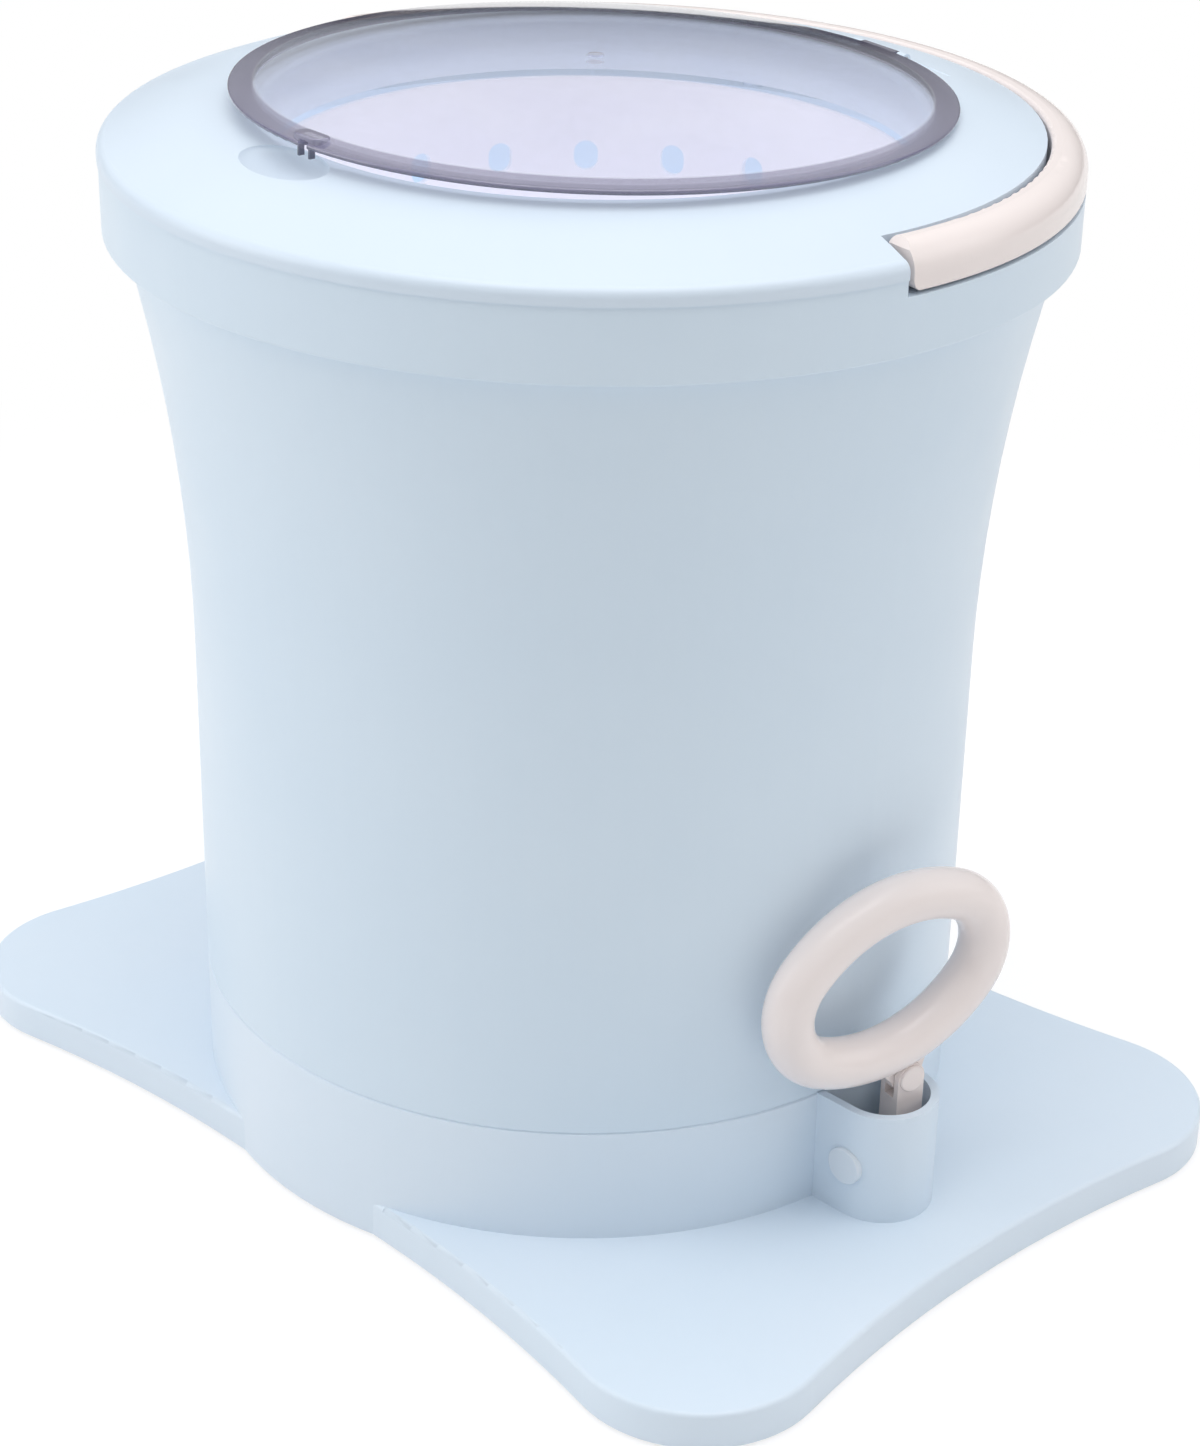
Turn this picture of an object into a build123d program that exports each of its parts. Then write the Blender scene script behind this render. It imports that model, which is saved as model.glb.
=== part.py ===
from build123d import *
import os
from math import acos, atan2, ceil, cos, hypot, pi, radians, sin, sqrt

# Hand-pull spin dryer for laundry: a foot plate, a flared tub, a perforated basket on a
# vertical shaft, a clear lid, a bail handle, and a pull loop whose cord turns the shaft.
# Millimetres, +Z up, origin on the floor under the shaft.  +X points at the pull channel.

# ---------------------------------------------------------------- foot plate and base ring
plate_waist_x = 193.6          # half length of the plate across its middle
plate_waist_y = 131.8          # half width of the plate across its middle
plate_flat_half = 40.0         # half of the straight stretch on each long side
plate_corner_x = 159.5         # centre of each rounded corner
plate_corner_y = 101.0
plate_corner_radius = 43.5
plate_top = 14.5
plate_edge_round = 1.6
plate_skin = 3.0
skirt_gap = 1.2                # the skirt stops this far above the floor
seam_z = 56.4                  # where the tub stands on the base ring
base_ring_wall = 3.2
seam_chamfer = 0.6
rib_thickness = 2.0
rib_count = 24
boss_radius = 4.5

# ---------------------------------------------------------------- bottom cover and feet
cover_plate_z = 2.0
cover_plate_thickness = 2.5
cover_plate_gap = 0.4
foot_radius = 13.0
foot_plug_radius = 3.0
foot_x = 168.0
foot_y = 106.0
plate_screw_places = ((183.0, 58.0), (118.0, 117.0))   # one quadrant, mirrored to four
ring_screw_radius = 126.0
ring_screw_angles = (45.0, 135.0, 225.0, 315.0)
small_screw_radius = 1.5
small_screw_head_radius = 2.8
small_screw_head = 1.6
small_screw_length = 9.0
bottom_screw_length = 7.0
screw_clearance = 0.25

# ---------------------------------------------------------------- tub
body_radius = 136.35
body_wall = 2.8
flare_start_z = 180.0
flare_spread = 18.1            # how far the wall has moved out where it meets the collar
collar_bottom_z = 328.5
tub_rim_z = 336.0
tub_floor_z = 59.4
tub_floor_thickness = 3.0
tub_lip_depth = 6.0
fit_gap = 0.3
floor_rib_count = 8
floor_rib_height = 7.0
tub_screw_radius = 119.0
tub_screw_angles = (22.5, 112.5, 202.5, 292.5)
tub_lug_z = 42.0
tub_lug_thickness = 4.0
drain_z = 73.0
drain_bore_radius = 6.0
drain_wall = 2.0
drain_reach = 20.0
drain_flange_radius = 13.0
drain_flange = 2.0

# ---------------------------------------------------------------- collar and top cover
collar_radius = body_radius + flare_spread + 6.45
collar_wall = 3.0
collar_bottom_round = 1.0
collar_top_z = 352.6
collar_ledge = 3.0
collar_ledge_inner = collar_radius - 22.9
cover_radius = collar_radius + 0.5
cover_border_radius = cover_radius - 3.1
cover_border_z = 358.4
cover_brim_z = 354.4            # the brim is upright up to here, then rounds over
cover_brim_bulge = 1.3
crown_mid_radius = cover_radius - 23.4
crown_mid_z = 364.9
mouth_edge_radius = crown_mid_radius - 25.0
crown_top_z = 368.2
cover_wall = 2.6
mouth_round = 2.4
neck_radius = mouth_edge_radius - 5.4
neck_bottom_z = 349.6
spigot_depth = 6.0
spigot_wall = 2.4
cover_screw_radius = cover_radius - 18.4
cover_screw_count = 6
cover_boss_radius = 4.2
top_turn = 81.0                # direction of the lid hinge, the middle of the handle

# ---------------------------------------------------------------- carry handle
handle_outer_radius = cover_radius - 0.4
handle_width = 12.3
handle_inner_radius = handle_outer_radius - handle_width
handle_top_z = 362.7
handle_bottom_z = 348.2
handle_outer_round = 8.6
handle_edge_round = 1.6
handle_heel_round = 4.5        # the lower corner of each squared end
handle_brow_cut = 2.2          # and its upper corner, cut off at 45 degrees
handle_gap = 0.9               # under the handle
handle_side_gap = 1.4          # between the handle and the cover inside it
handle_end_gap = 2.0
handle_pivot_inset = 5.5       # from the squared end to the pivot
handle_pivot_z = 357.2
pivot_pin_radius = 2.2
pivot_pin_inner = handle_inner_radius - 5.4
pivot_pin_outer = handle_outer_radius - 3.5
pivot_end_gap = 0.5
running_gap = 0.06

# ---------------------------------------------------------------- lid
lid_radius = mouth_edge_radius + 5.75
lid_bottom_z = 368.5
lid_edge_z = 370.1
lid_apex_z = 380.3
lid_wall = 2.2
lid_edge_round = 0.7
lid_flange_radius = lid_radius - 8.15   # the solid edge band reaches in to here
lid_flange_z = 369.3           # where the hollow of the dome meets that band
lid_ajar = 1.12                # degrees that the lid stands open at rest
lid_nub_radius = 2.5
lid_nub_height = 0.5
hinge_axis_radius = lid_radius + 3.45
hinge_axis_z = 367.6           # sunk in the cover, so that the knuckle hardly shows
hinge_pin_radius = 0.9
knuckle_radius = 1.8
knuckle_half = 9.0
hinge_lug_width = 4.0
hinge_side_gap = 0.4
hinge_bed_thickness = 2.0      # the cover's wall under the knuckle
hinge_bed_half = 5.0
tab_half_wide = 6.5            # the raised thumb tab on the lid's edge, opposite the hinge
tab_inner_radius = lid_radius - 6.95
tab_top_z = 372.4
tab_corner = 2.4
tab_edge_round = 0.6
notch_half_wide = 2.2          # the notch under the tab
notch_radius = lid_radius - 3.15
notch_top_z = 370.9
prong_width = 0.9              # the two thin prongs beside the notch
prong_inset = 0.6              # from the lid's edge to the prongs
prong_reach = 2.0
prong_bottom_z = 365.6
latch_turn = 6.3               # how far round the tab stands from the point opposite the hinge
dish_turn = 3.0
dish_radius = lid_radius + 2.25   # finger dish under the lid's tab, centre from the axis
dish_half_radial = 11.0
dish_half_wide = 19.5
dish_depth = 4.6
dish_wall = 2.0
dish_sink = 0.3

# ---------------------------------------------------------------- basket
basket_outer_radius = neck_radius - 5.1
basket_wall = 2.4
basket_floor_z = 85.0
basket_floor = 3.0
basket_bottom_round = 14.0
basket_neck_z = 328.0
basket_rim_z = 347.4
basket_rim_radius = neck_radius + 1.0
basket_rim_mouth = neck_radius - 2.0
basket_rim_drop = 6.0
basket_rim_round = 1.5
basket_neck_bulge = 1.4
hole_count = 20
hole_rows = 9
hole_top_z = 320.0
hole_pitch_z = 26.0
hole_width = 8.7
hole_height = 11.0
hole_turn = 10.7
floor_hole_radius = 4.0
floor_hole_rings = (46.0, 70.0)
floor_hole_pitch = 32.0
hub_boss_radius = 24.0
hub_boss_height = 6.0
cap_radius = 27.0
cap_height = 24.0
cap_wall = 2.0
cap_round = 8.0

# ---------------------------------------------------------------- shaft and bearings
shaft_radius = 6.0
shaft_bottom_z = 8.0
shaft_top_z = 104.0
bearing_radius = 14.0
bearing_width = 8.0
race_thickness = 2.4
ball_count = 8
ball_gap = 0.03
lower_bearing_z = 46.0
upper_bearing_z = 66.0
tower_wall = 3.5
tower_bottom_z = 42.0
tower_top_z = 79.6
tower_shoulder = 1.6
seal_height = 4.6
seal_wall = 1.6
seal_web = 1.2
seal_gap = 0.1                 # above the upper bearing
hub_flange_radius = 21.0
hub_flange_z = 81.6
hub_sleeve_radius = 9.0
hub_sleeve_z = 79.0
washer_radius = 12.0
washer_thickness = 1.6
nut_across_flats = 19.0
nut_height = 8.0
circlip_thickness = 1.2
circlip_radial = 2.2
circlip_groove = 0.6
shaft_chamfer = 1.0

# ---------------------------------------------------------------- cord drive
cord_radius = 1.5
cord_y = 2.5                   # the cord line stands this far off the channel's middle
cord_travel = 450.0
spool_hub_radius = 20.0
spool_flange_radius = 34.0
spool_flange = 2.0
spool_spare_turns = 2
clutch_outer_radius = 9.0
clutch_length = 16.0
clutch_cup_wall = 1.0
clutch_roller_count = 7
clutch_end_lip = 1.0
spring_case_radius = 44.0
spring_case_wall = 2.0
spring_case_height = 11.0
case_lid_thickness = 1.2
screw_tip_gap = 0.2
spring_strip = 0.8
spring_strip_height = 6.5
spring_turns = 9
spring_hub_radius = 13.0
case_ear_radius = 49.5
case_ear_size = 6.0
eyelet_bore_radius = 2.0
eyelet_radius = 5.0
eyelet_flange_radius = 7.5
eyelet_flange = 1.5
roller_x = 149.0
roller_z = 34.0
roller_groove_radius = 4.0
roller_flange_radius = 7.0
roller_half_width = 4.0
axle_radius = 2.2
axle_head_radius = 6.8
axle_head = 1.3
axle_clip_radius = 4.6
axle_clip_thickness = 1.2
axle_tail = 2.6
spacer_wall = 1.4

# ---------------------------------------------------------------- pull channel and loop
channel_half_width = 18.4
channel_wall = 3.0
channel_nose_x = 149.6         # centre of the rounded front
shank_half_width = 5.4
shank_thickness = 9.4
shank_bottom_z = 43.0
loop_tongue = 4.2
loop_tongue_half = 7.0
loop_eye_radius = 6.5
loop_twist = -12.6             # the loop stands a little turned in the channel
loop_lean = 13.4               # and has dropped to one side on its pin
loop_pin_z = 65.2
loop_pin_radius = 2.4
loop_pin_head_radius = 4.9
loop_pin_head = 1.2
loop_half_width = 40.6         # of the loop's centre line
loop_half_height = 28.0
loop_end_radius = 22.0
loop_tube_radius = 8.7
loop_drop = 12.8               # from the centre line's lowest point to the pin
loop_side_gap = 0.35

# ---------------------------------------------------------------- values worked out
cord_line_radius = spool_hub_radius + cord_radius
cord_pitch = 2 * cord_radius + 0.1
spool_turns = ceil(cord_travel / (2 * pi * cord_line_radius)) + spool_spare_turns
spool_inner_height = spool_turns * cord_pitch
cord_z = roller_z - roller_groove_radius - cord_radius
riser_x = roller_x + roller_groove_radius + cord_radius
spool_bottom_z = cord_z - spool_inner_height / 2 - spool_flange
spool_top_z = cord_z + spool_inner_height / 2 + spool_flange
cover_plate_top = cover_plate_z + cover_plate_thickness
ring_inner_radius = body_radius - base_ring_wall
flare_rise = collar_bottom_z - flare_start_z
flare_radius = (flare_spread ** 2 + flare_rise ** 2) / (2 * flare_spread)
flare_centre = body_radius + flare_radius
tub_floor_top = tub_floor_z + tub_floor_thickness
tower_radius = bearing_radius + tower_wall
basket_inner_radius = basket_outer_radius - basket_wall
basket_floor_top = basket_floor_z + basket_floor
case_top_z = cover_plate_top + spring_case_height


def disc(radius, low, high):
    return Pos(0, 0, (low + high) / 2) * Cylinder(radius, high - low)


def tube(outer, inner, low, high):
    return disc(outer, low, high) - Pos(0, 0, (low + high) / 2) * Cylinder(inner, high - low + 2)


def around(radius, angle, piece):
    return Pos(radius * cos(radians(angle)), radius * sin(radians(angle)), 0) * piece


def prism(face, low, high):
    return Pos(0, 0, low) * extrude(face, high - low, dir=(0, 0, 1))


def arc_about(centre, start, end):
    """The shorter arc about centre from start to end, in the XY plane."""
    first = atan2(start[1] - centre[1], start[0] - centre[0])
    last = atan2(end[1] - centre[1], end[0] - centre[0])
    turn = (last - first + pi) % (2 * pi) - pi
    radius = hypot(start[0] - centre[0], start[1] - centre[1])
    middle = first + turn / 2
    through = (centre[0] + radius * cos(middle), centre[1] + radius * sin(middle))
    return ThreePointArc(start, through, end)


def towards(point, target, distance):
    """The point at distance from point on the way to target."""
    length = hypot(target[0] - point[0], target[1] - point[1])
    return (point[0] + (target[0] - point[0]) * distance / length,
            point[1] + (target[1] - point[1]) * distance / length)


def spun(lines):
    """A solid of revolution from a closed profile drawn as (radius, height)."""
    profile = Plane.XZ * make_face(Wire(lines))
    return revolve(profile, Axis.Z, 360)


def spun_polygon(*points):
    return spun(Polyline(*points, close=True).edges())


def save(piece, name):
    export_step(piece, f"parts/{name}.step")


# ---------------------------------------------------------------- outlines
def plate_face(inset):
    """The waisted foot plate's outline; inset moves every side inwards by the same amount."""
    waist_x = plate_waist_x - inset
    waist_y = plate_waist_y - inset
    corner = (plate_corner_x, plate_corner_y)
    radius = plate_corner_radius - inset
    side_x = waist_x - corner[0]
    end_radius = (side_x ** 2 + corner[1] ** 2 - radius ** 2) / (2 * (radius - side_x))
    side_y = waist_y - corner[1]
    reach = corner[0] - plate_flat_half
    long_radius = (side_y ** 2 + reach ** 2 - radius ** 2) / (2 * (radius - side_y))
    end_centre = (waist_x + end_radius, 0)
    long_centre = (plate_flat_half, waist_y + long_radius)
    end_touch = towards(corner, end_centre, radius)
    long_touch = towards(corner, long_centre, radius)
    quarter = [
        arc_about(end_centre, (waist_x, 0), end_touch),
        arc_about(corner, end_touch, long_touch),
        arc_about(long_centre, long_touch, (plate_flat_half, waist_y)),
        Line((plate_flat_half, waist_y), (0, waist_y)),
        Line((0, waist_y), (0, 0)),
        Line((0, 0), (waist_x, 0)),
    ]
    face = make_face(Wire(quarter))
    half = face + mirror(face, Plane.YZ)
    return half + mirror(half, Plane.XZ)


def channel_face(inset):
    """The pull channel in plan: straight sides and a round front, from the shaft outwards."""
    half = channel_half_width - inset
    return Pos(channel_nose_x / 2, 0) * Rectangle(channel_nose_x, 2 * half) + Pos(channel_nose_x, 0) * Circle(half)


def flare_end(inset):
    """Radius that the flared tub wall reaches at the collar, moved inwards by inset."""
    return flare_centre - sqrt((flare_radius + inset) ** 2 - flare_rise ** 2)


def flared_body(inset, low, high):
    """The tub's filled shape: a cylinder, a slow outward flare, then a short upright rim."""
    radius = body_radius - inset
    end = flare_end(inset)
    middle_z = (flare_start_z + collar_bottom_z) / 2
    middle = flare_centre - sqrt((flare_radius + inset) ** 2 - (middle_z - flare_start_z) ** 2)
    return spun([
        Line((0, low), (radius, low)),
        Line((radius, low), (radius, flare_start_z)),
        ThreePointArc((radius, flare_start_z), (middle, middle_z), (end, collar_bottom_z)),
        Line((end, collar_bottom_z), (end, high)),
        Line((end, high), (0, high)),
        Line((0, high), (0, low)),
    ])


# ---------------------------------------------------------------- base
def plate_screw_points():
    corners = [(x * sx, y * sy) for x, y in plate_screw_places for sx in (1, -1) for sy in (1, -1)]
    ring = [(ring_screw_radius * cos(radians(a)), ring_screw_radius * sin(radians(a))) for a in ring_screw_angles]
    return corners + ring


def base_housing():
    plate = prism(plate_face(0), skirt_gap, plate_top)
    plate = fillet(plate.edges().group_by(Axis.Z)[-1], plate_edge_round)
    hollow = prism(plate_face(plate_skin), 0, plate_top - plate_skin)
    ribs = Part()
    for index in range(rib_count):
        rib = Pos(plate_waist_x / 2 + ring_inner_radius / 2, 0, 0) * Box(
            plate_waist_x, rib_thickness, 2 * (plate_top - plate_skin / 2))
        ribs += Rot(0, 0, (index + 0.5) * 360 / rib_count) * rib
    bosses = Part()
    for x, y in plate_screw_points():
        bosses += Pos(x, y, 0) * disc(boss_radius, cover_plate_top, plate_top - plate_skin / 2)
    inside = hollow & disc(plate_waist_x * 2, cover_plate_top, plate_top)
    shell = plate - hollow + (inside & ribs) + (inside & bosses)
    shell -= disc(ring_inner_radius, 0, seam_z)
    ring = tube(body_radius, ring_inner_radius, cover_plate_top, seam_z)
    ring = chamfer(ring.edges().group_by(Axis.Z)[-1].sort_by(SortBy.RADIUS)[-1], seam_chamfer)
    hem = prism(Circle(body_radius), skirt_gap, cover_plate_top) - disc(ring_inner_radius, 0, seam_z)
    hem -= prism(plate_face(base_ring_wall), 0, cover_plate_top)
    walls = prism(channel_face(0), plate_top - plate_skin, seam_z)
    walls -= disc(body_radius - base_ring_wall / 2, 0, 2 * seam_z)
    walls -= prism(channel_face(channel_wall), plate_top, 2 * seam_z) - disc(body_radius, 0, 2 * seam_z)
    body = shell + ring + hem + walls
    for angle in ring_screw_angles:
        body += around(ring_screw_radius, angle, disc(boss_radius, cover_plate_top, plate_top)) & disc(
            ring_inner_radius + base_ring_wall / 2, 0, seam_z)
        web = Pos((ring_screw_radius + ring_inner_radius) / 2, 0, (cover_plate_top + plate_top) / 2) * Box(
            ring_inner_radius - ring_screw_radius + 2, 2 * rib_thickness, plate_top - cover_plate_top)
        body += Rot(0, 0, angle) * web
    for angle in tub_screw_angles:
        body += Rot(0, 0, angle) * tub_lug()
    for x, y in plate_screw_points():
        body -= Pos(x, y, 0) * disc(small_screw_radius - running_gap, 0, plate_top - plate_skin)
    body -= Pos(0, cord_y, cord_z) * Rot(0, 90, 0) * Pos(0, 0, ring_inner_radius) * Cylinder(
        eyelet_radius + screw_clearance, 4 * base_ring_wall)
    body -= Pos(roller_x, 0, roller_z) * Rot(90, 0, 0) * Cylinder(axle_radius + screw_clearance, 4 * channel_half_width)
    return body


def tub_lug():
    """A screw lug on the inside of the base ring, under one of the tub's bosses."""
    inner = tub_screw_radius - 2 * boss_radius
    outer = ring_inner_radius + base_ring_wall / 2
    lug = Pos((inner + outer) / 2, 0, tub_lug_z + tub_lug_thickness / 2) * Box(
        outer - inner, 4 * boss_radius, tub_lug_thickness)
    return lug - Pos(tub_screw_radius, 0, 0) * disc(small_screw_radius + screw_clearance, 0, seam_z)


def small_screw(seat_z, length):
    """A pan-head screw driven upwards, its head under seat_z."""
    return disc(small_screw_head_radius, seat_z - small_screw_head, seat_z) + disc(
        small_screw_radius - 2 * running_gap, seat_z, seat_z + length)


def bottom_cover():
    plate = prism(plate_face(plate_skin + cover_plate_gap), cover_plate_z, cover_plate_top)
    plate += prism(Circle(ring_inner_radius - cover_plate_gap), cover_plate_z, cover_plate_top)
    for x, y in plate_screw_points():
        plate -= Pos(x, y, 0) * disc(small_screw_radius + screw_clearance, 0, plate_top)
        plate -= Pos(x, y, 0) * disc(small_screw_head_radius + screw_clearance, 0, bottom_screw_seat())
    for sx in (1, -1):
        for sy in (1, -1):
            plate -= Pos(sx * foot_x, sy * foot_y, 0) * disc(foot_plug_radius + screw_clearance, 0, plate_top)
    for angle in case_ear_angles():
        plate -= around(case_ear_radius, angle, disc(small_screw_radius - running_gap, 0, plate_top))
    return plate


def bottom_screw_seat():
    return cover_plate_z + small_screw_head


def case_ear_angles():
    return (90.0, 210.0, 330.0)


def bottom_screws():
    return [Pos(x, y, 0) * small_screw(bottom_screw_seat(), bottom_screw_length) for x, y in plate_screw_points()]


def rubber_foot():
    pad = disc(foot_radius, 0, cover_plate_z)
    pad = fillet(pad.edges().group_by(Axis.Z)[0], cover_plate_z / 4)
    return pad + disc(foot_plug_radius, cover_plate_z, cover_plate_top + cover_plate_gap)


# ---------------------------------------------------------------- tub
def outer_tub():
    tub = flared_body(0, seam_z, tub_rim_z) - flared_body(body_wall, tub_floor_top, 2 * tub_rim_z)
    tub -= disc(body_radius - body_wall, seam_z - 1, tub_floor_z)
    bottom_edge = tub.edges().filter_by(GeomType.CIRCLE).group_by(Axis.Z)[0].sort_by(SortBy.RADIUS)[-1]
    tub = chamfer(bottom_edge, seam_chamfer)
    lip_outer = ring_inner_radius - fit_gap
    tub += tube(lip_outer, lip_outer - body_wall, seam_z - tub_lip_depth, tub_floor_z + 1)
    for index in range(floor_rib_count):
        rib = Pos((tower_radius + lip_outer) / 2 - 1, 0, tub_floor_z - floor_rib_height / 2 + 0.5) * Box(
            lip_outer - tower_radius, rib_thickness, floor_rib_height + 1)
        tub += Rot(0, 0, index * 360 / floor_rib_count) * rib
    tub += disc(tower_radius, tower_bottom_z, tower_top_z)
    tub -= disc(bearing_radius, tower_bottom_z - 1, lower_bearing_z + bearing_width)
    tub -= disc(bearing_radius - tower_shoulder, lower_bearing_z, upper_bearing_z + 1)
    tub -= disc(bearing_radius, upper_bearing_z, tower_top_z + 1)
    tub -= tube(bearing_radius + circlip_radial / 2, bearing_radius - 1,
                lower_bearing_z - circlip_thickness - running_gap, lower_bearing_z)
    for angle in tub_screw_angles:
        boss = disc(boss_radius, tub_lug_z + tub_lug_thickness, tub_floor_z + 1)
        boss -= disc(small_screw_radius - running_gap, 0, tub_lug_z + small_screw_length + 1)
        tub += around(tub_screw_radius, angle, boss)
    hole = Pos(-body_radius, 0, drain_z) * Rot(0, 90, 0) * Cylinder(
        drain_bore_radius + drain_wall + screw_clearance, 6 * body_wall)
    return tub - hole


def tub_screws():
    return [around(tub_screw_radius, angle, small_screw(tub_lug_z, small_screw_length)) for angle in tub_screw_angles]


def drain_spout():
    """A hose spigot glued through the wall at the back, low in the tub."""
    inner_x = body_radius - body_wall
    seat_x = sqrt(body_radius ** 2 - (drain_bore_radius + drain_wall) ** 2)
    axis = Plane((0, 0, drain_z), x_dir=(0, 0, 1), z_dir=(-1, 0, 0))
    pipe = axis * Pos(0, 0, (inner_x + body_radius + drain_reach) / 2) * Cylinder(
        drain_bore_radius + drain_wall, body_radius + drain_reach - inner_x)
    flange = axis * Pos(0, 0, (seat_x + body_radius + drain_flange) / 2) * Cylinder(
        drain_flange_radius, body_radius + drain_flange - seat_x)
    bore = axis * Pos(0, 0, body_radius) * Cylinder(drain_bore_radius, 4 * drain_reach)
    return pipe + (flange - disc(body_radius + running_gap, 0, 2 * drain_z)) - bore


# ---------------------------------------------------------------- collar and cover
def rebate():
    """The space cut for the carry handle, in the frame whose +X points at the lid hinge."""
    inner = handle_inner_radius - handle_side_gap
    floor = handle_bottom_z - handle_gap
    ring = tube(2 * cover_radius, inner, floor, 2 * crown_top_z)
    keep = Pos(cover_radius - handle_end_gap, 0, floor + cover_radius) * Box(
        2 * cover_radius, 4 * cover_radius, 2 * cover_radius)
    return ring & keep


def collar_ring():
    inner = flare_end(0) + fit_gap
    ledge_z = tub_rim_z + collar_ledge
    wall_inner = collar_radius - collar_wall
    ring = spun_polygon(
        (inner, collar_bottom_z), (collar_radius, collar_bottom_z),
        (collar_radius, collar_top_z), (wall_inner, collar_top_z), (wall_inner, ledge_z),
        (collar_ledge_inner, ledge_z), (collar_ledge_inner, tub_rim_z), (inner, tub_rim_z))
    lower_edge = [e for e in ring.edges().filter_by(GeomType.CIRCLE)
                  if abs(e.radius - collar_radius) < 0.01 and abs(e.center().Z - collar_bottom_z) < 0.1]
    ring = fillet(lower_edge, collar_bottom_round)
    for angle in cover_screw_angles():
        ring -= around(cover_screw_radius, angle, disc(small_screw_radius + screw_clearance, 0, collar_top_z))
    return Rot(0, 0, top_turn) * (ring - rebate())


def cover_screw_angles():
    return [(index + 0.5) * 360 / cover_screw_count for index in range(cover_screw_count)]


def crown_arc(drop, outer_shift):
    """The crowned top from the mouth's edge to the border, lowered by drop."""
    return ThreePointArc((mouth_edge_radius, crown_top_z - drop), (crown_mid_radius, crown_mid_z - drop),
                         (cover_border_radius - outer_shift, cover_border_z - drop))


def cover_outer_solid(low):
    """Everything under the cover's top surface, out to its border, down to low."""
    return spun([
        Line((0, low), (cover_radius, low)),
        Line((cover_radius, low), (cover_radius, cover_brim_z)),
        ThreePointArc((cover_radius, cover_brim_z),
                      (cover_radius - cover_brim_bulge * 2 / 3, cover_border_z - cover_brim_bulge),
                      (cover_border_radius, cover_border_z)),
        crown_arc(0, 0),
        Line((mouth_edge_radius, crown_top_z), (0, crown_top_z)),
        Line((0, crown_top_z), (0, low)),
    ])


def top_cover():
    full = cover_outer_solid(collar_top_z)
    inner_radius = cover_radius - cover_wall
    hollow = spun([
        Line((0, 0), (inner_radius, 0)),
        Line((inner_radius, 0), (inner_radius, cover_brim_z)),
        Line((inner_radius, cover_brim_z), (cover_border_radius - cover_wall, cover_border_z - cover_wall)),
        crown_arc(cover_wall, cover_wall),
        Line((mouth_edge_radius, crown_top_z - cover_wall), (0, crown_top_z - cover_wall)),
        Line((0, crown_top_z - cover_wall), (0, 0)),
    ])
    neck_outer = neck_radius + cover_wall
    shell = full - hollow
    shell += tube(neck_outer, neck_radius, neck_bottom_z, crown_top_z - cover_wall / 2)
    shell -= disc(neck_radius, 0, 2 * crown_top_z)
    mouth = [e for e in shell.edges().filter_by(GeomType.CIRCLE)
             if abs(e.radius - neck_radius) < 0.01 and e.center().Z > crown_top_z - 0.1]
    shell = fillet(mouth, mouth_round)
    spigot_outer = collar_radius - collar_wall - fit_gap
    under = cover_outer_solid(neck_bottom_z - 2 * cover_wall) - disc(mouth_edge_radius, 0, 2 * crown_top_z)
    spigot = tube(spigot_outer, spigot_outer - spigot_wall, collar_top_z - spigot_depth, cover_border_z)
    shell += spigot & under
    shell += handle_trough() & under
    for angle in cover_screw_angles():
        boss = disc(cover_boss_radius, tub_rim_z + collar_ledge, crown_mid_z - cover_wall / 2)
        boss -= disc(small_screw_radius - running_gap, 0, tub_rim_z + small_screw_length + collar_ledge)
        shell += around(cover_screw_radius, angle, boss) & cover_outer_solid(tub_rim_z)
    shell -= rebate()
    shell += hinge_bed() & under
    shell -= Pos(hinge_axis_radius, 0, hinge_axis_z) * Rot(90, 0, 0) * Cylinder(
        knuckle_radius + hinge_side_gap, 2 * (knuckle_half + hinge_side_gap))
    shell += hinge_lugs()
    shell += finger_dish(dish_wall) & (cover_outer_solid(neck_bottom_z) - disc(neck_outer, 0, 2 * crown_top_z))
    shell -= finger_dish(0)
    for side in (1, -1):
        shell -= pivot_line(side, pivot_pin_radius, pivot_pin_inner, pivot_pin_outer)
        shell -= Pos(hinge_axis_radius, 0, hinge_axis_z) * Rot(90, 0, 0) * Cylinder(
            hinge_pin_radius + running_gap / 2, 8 * knuckle_half)
    return Rot(0, 0, top_turn) * shell


def handle_trough():
    """The wall and floor behind and under the carry handle, before its space is cut."""
    inner = handle_inner_radius - handle_side_gap - cover_wall
    floor = handle_bottom_z - handle_gap - cover_wall
    outer = collar_radius - collar_wall - fit_gap
    trough = tube(outer, inner, floor, crown_top_z)
    keep = Pos(cover_radius - handle_end_gap - cover_wall, 0, floor + cover_radius) * Box(
        2 * cover_radius, 4 * cover_radius, 2 * cover_radius)
    return trough & keep


def finger_dish(grow):
    """A shallow oval dish, under the edge of the lid, for the fingertip that lifts it."""
    half_x = dish_half_radial + grow
    half_y = dish_half_wide + grow
    depth = dish_depth + grow
    bowl = scale(Sphere(1), by=(half_x, half_y, depth))
    return Rot(0, 0, dish_turn) * Pos(-dish_radius, 0, crown_top_z - dish_sink) * bowl


def hinge_bed():
    """The thicker wall that the lid's knuckle is sunk into."""
    low = hinge_axis_z - knuckle_radius - hinge_side_gap - hinge_bed_thickness
    half_wide = knuckle_half + hinge_side_gap + hinge_lug_width
    return Pos(hinge_axis_radius, 0, (low + crown_top_z) / 2) * Box(
        2 * hinge_bed_half, 2 * half_wide, crown_top_z - low)


def hinge_lugs():
    lugs = Part()
    for side in (1, -1):
        middle = side * (knuckle_half + hinge_side_gap + hinge_lug_width / 2)
        eye = Pos(hinge_axis_radius, middle, hinge_axis_z) * Rot(90, 0, 0) * Cylinder(knuckle_radius, hinge_lug_width)
        stand = Pos(hinge_axis_radius, middle, (hinge_axis_z + crown_mid_z) / 2) * Box(
            2 * knuckle_radius, hinge_lug_width, hinge_axis_z - crown_mid_z)
        lugs += eye + stand
    return lugs


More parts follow.
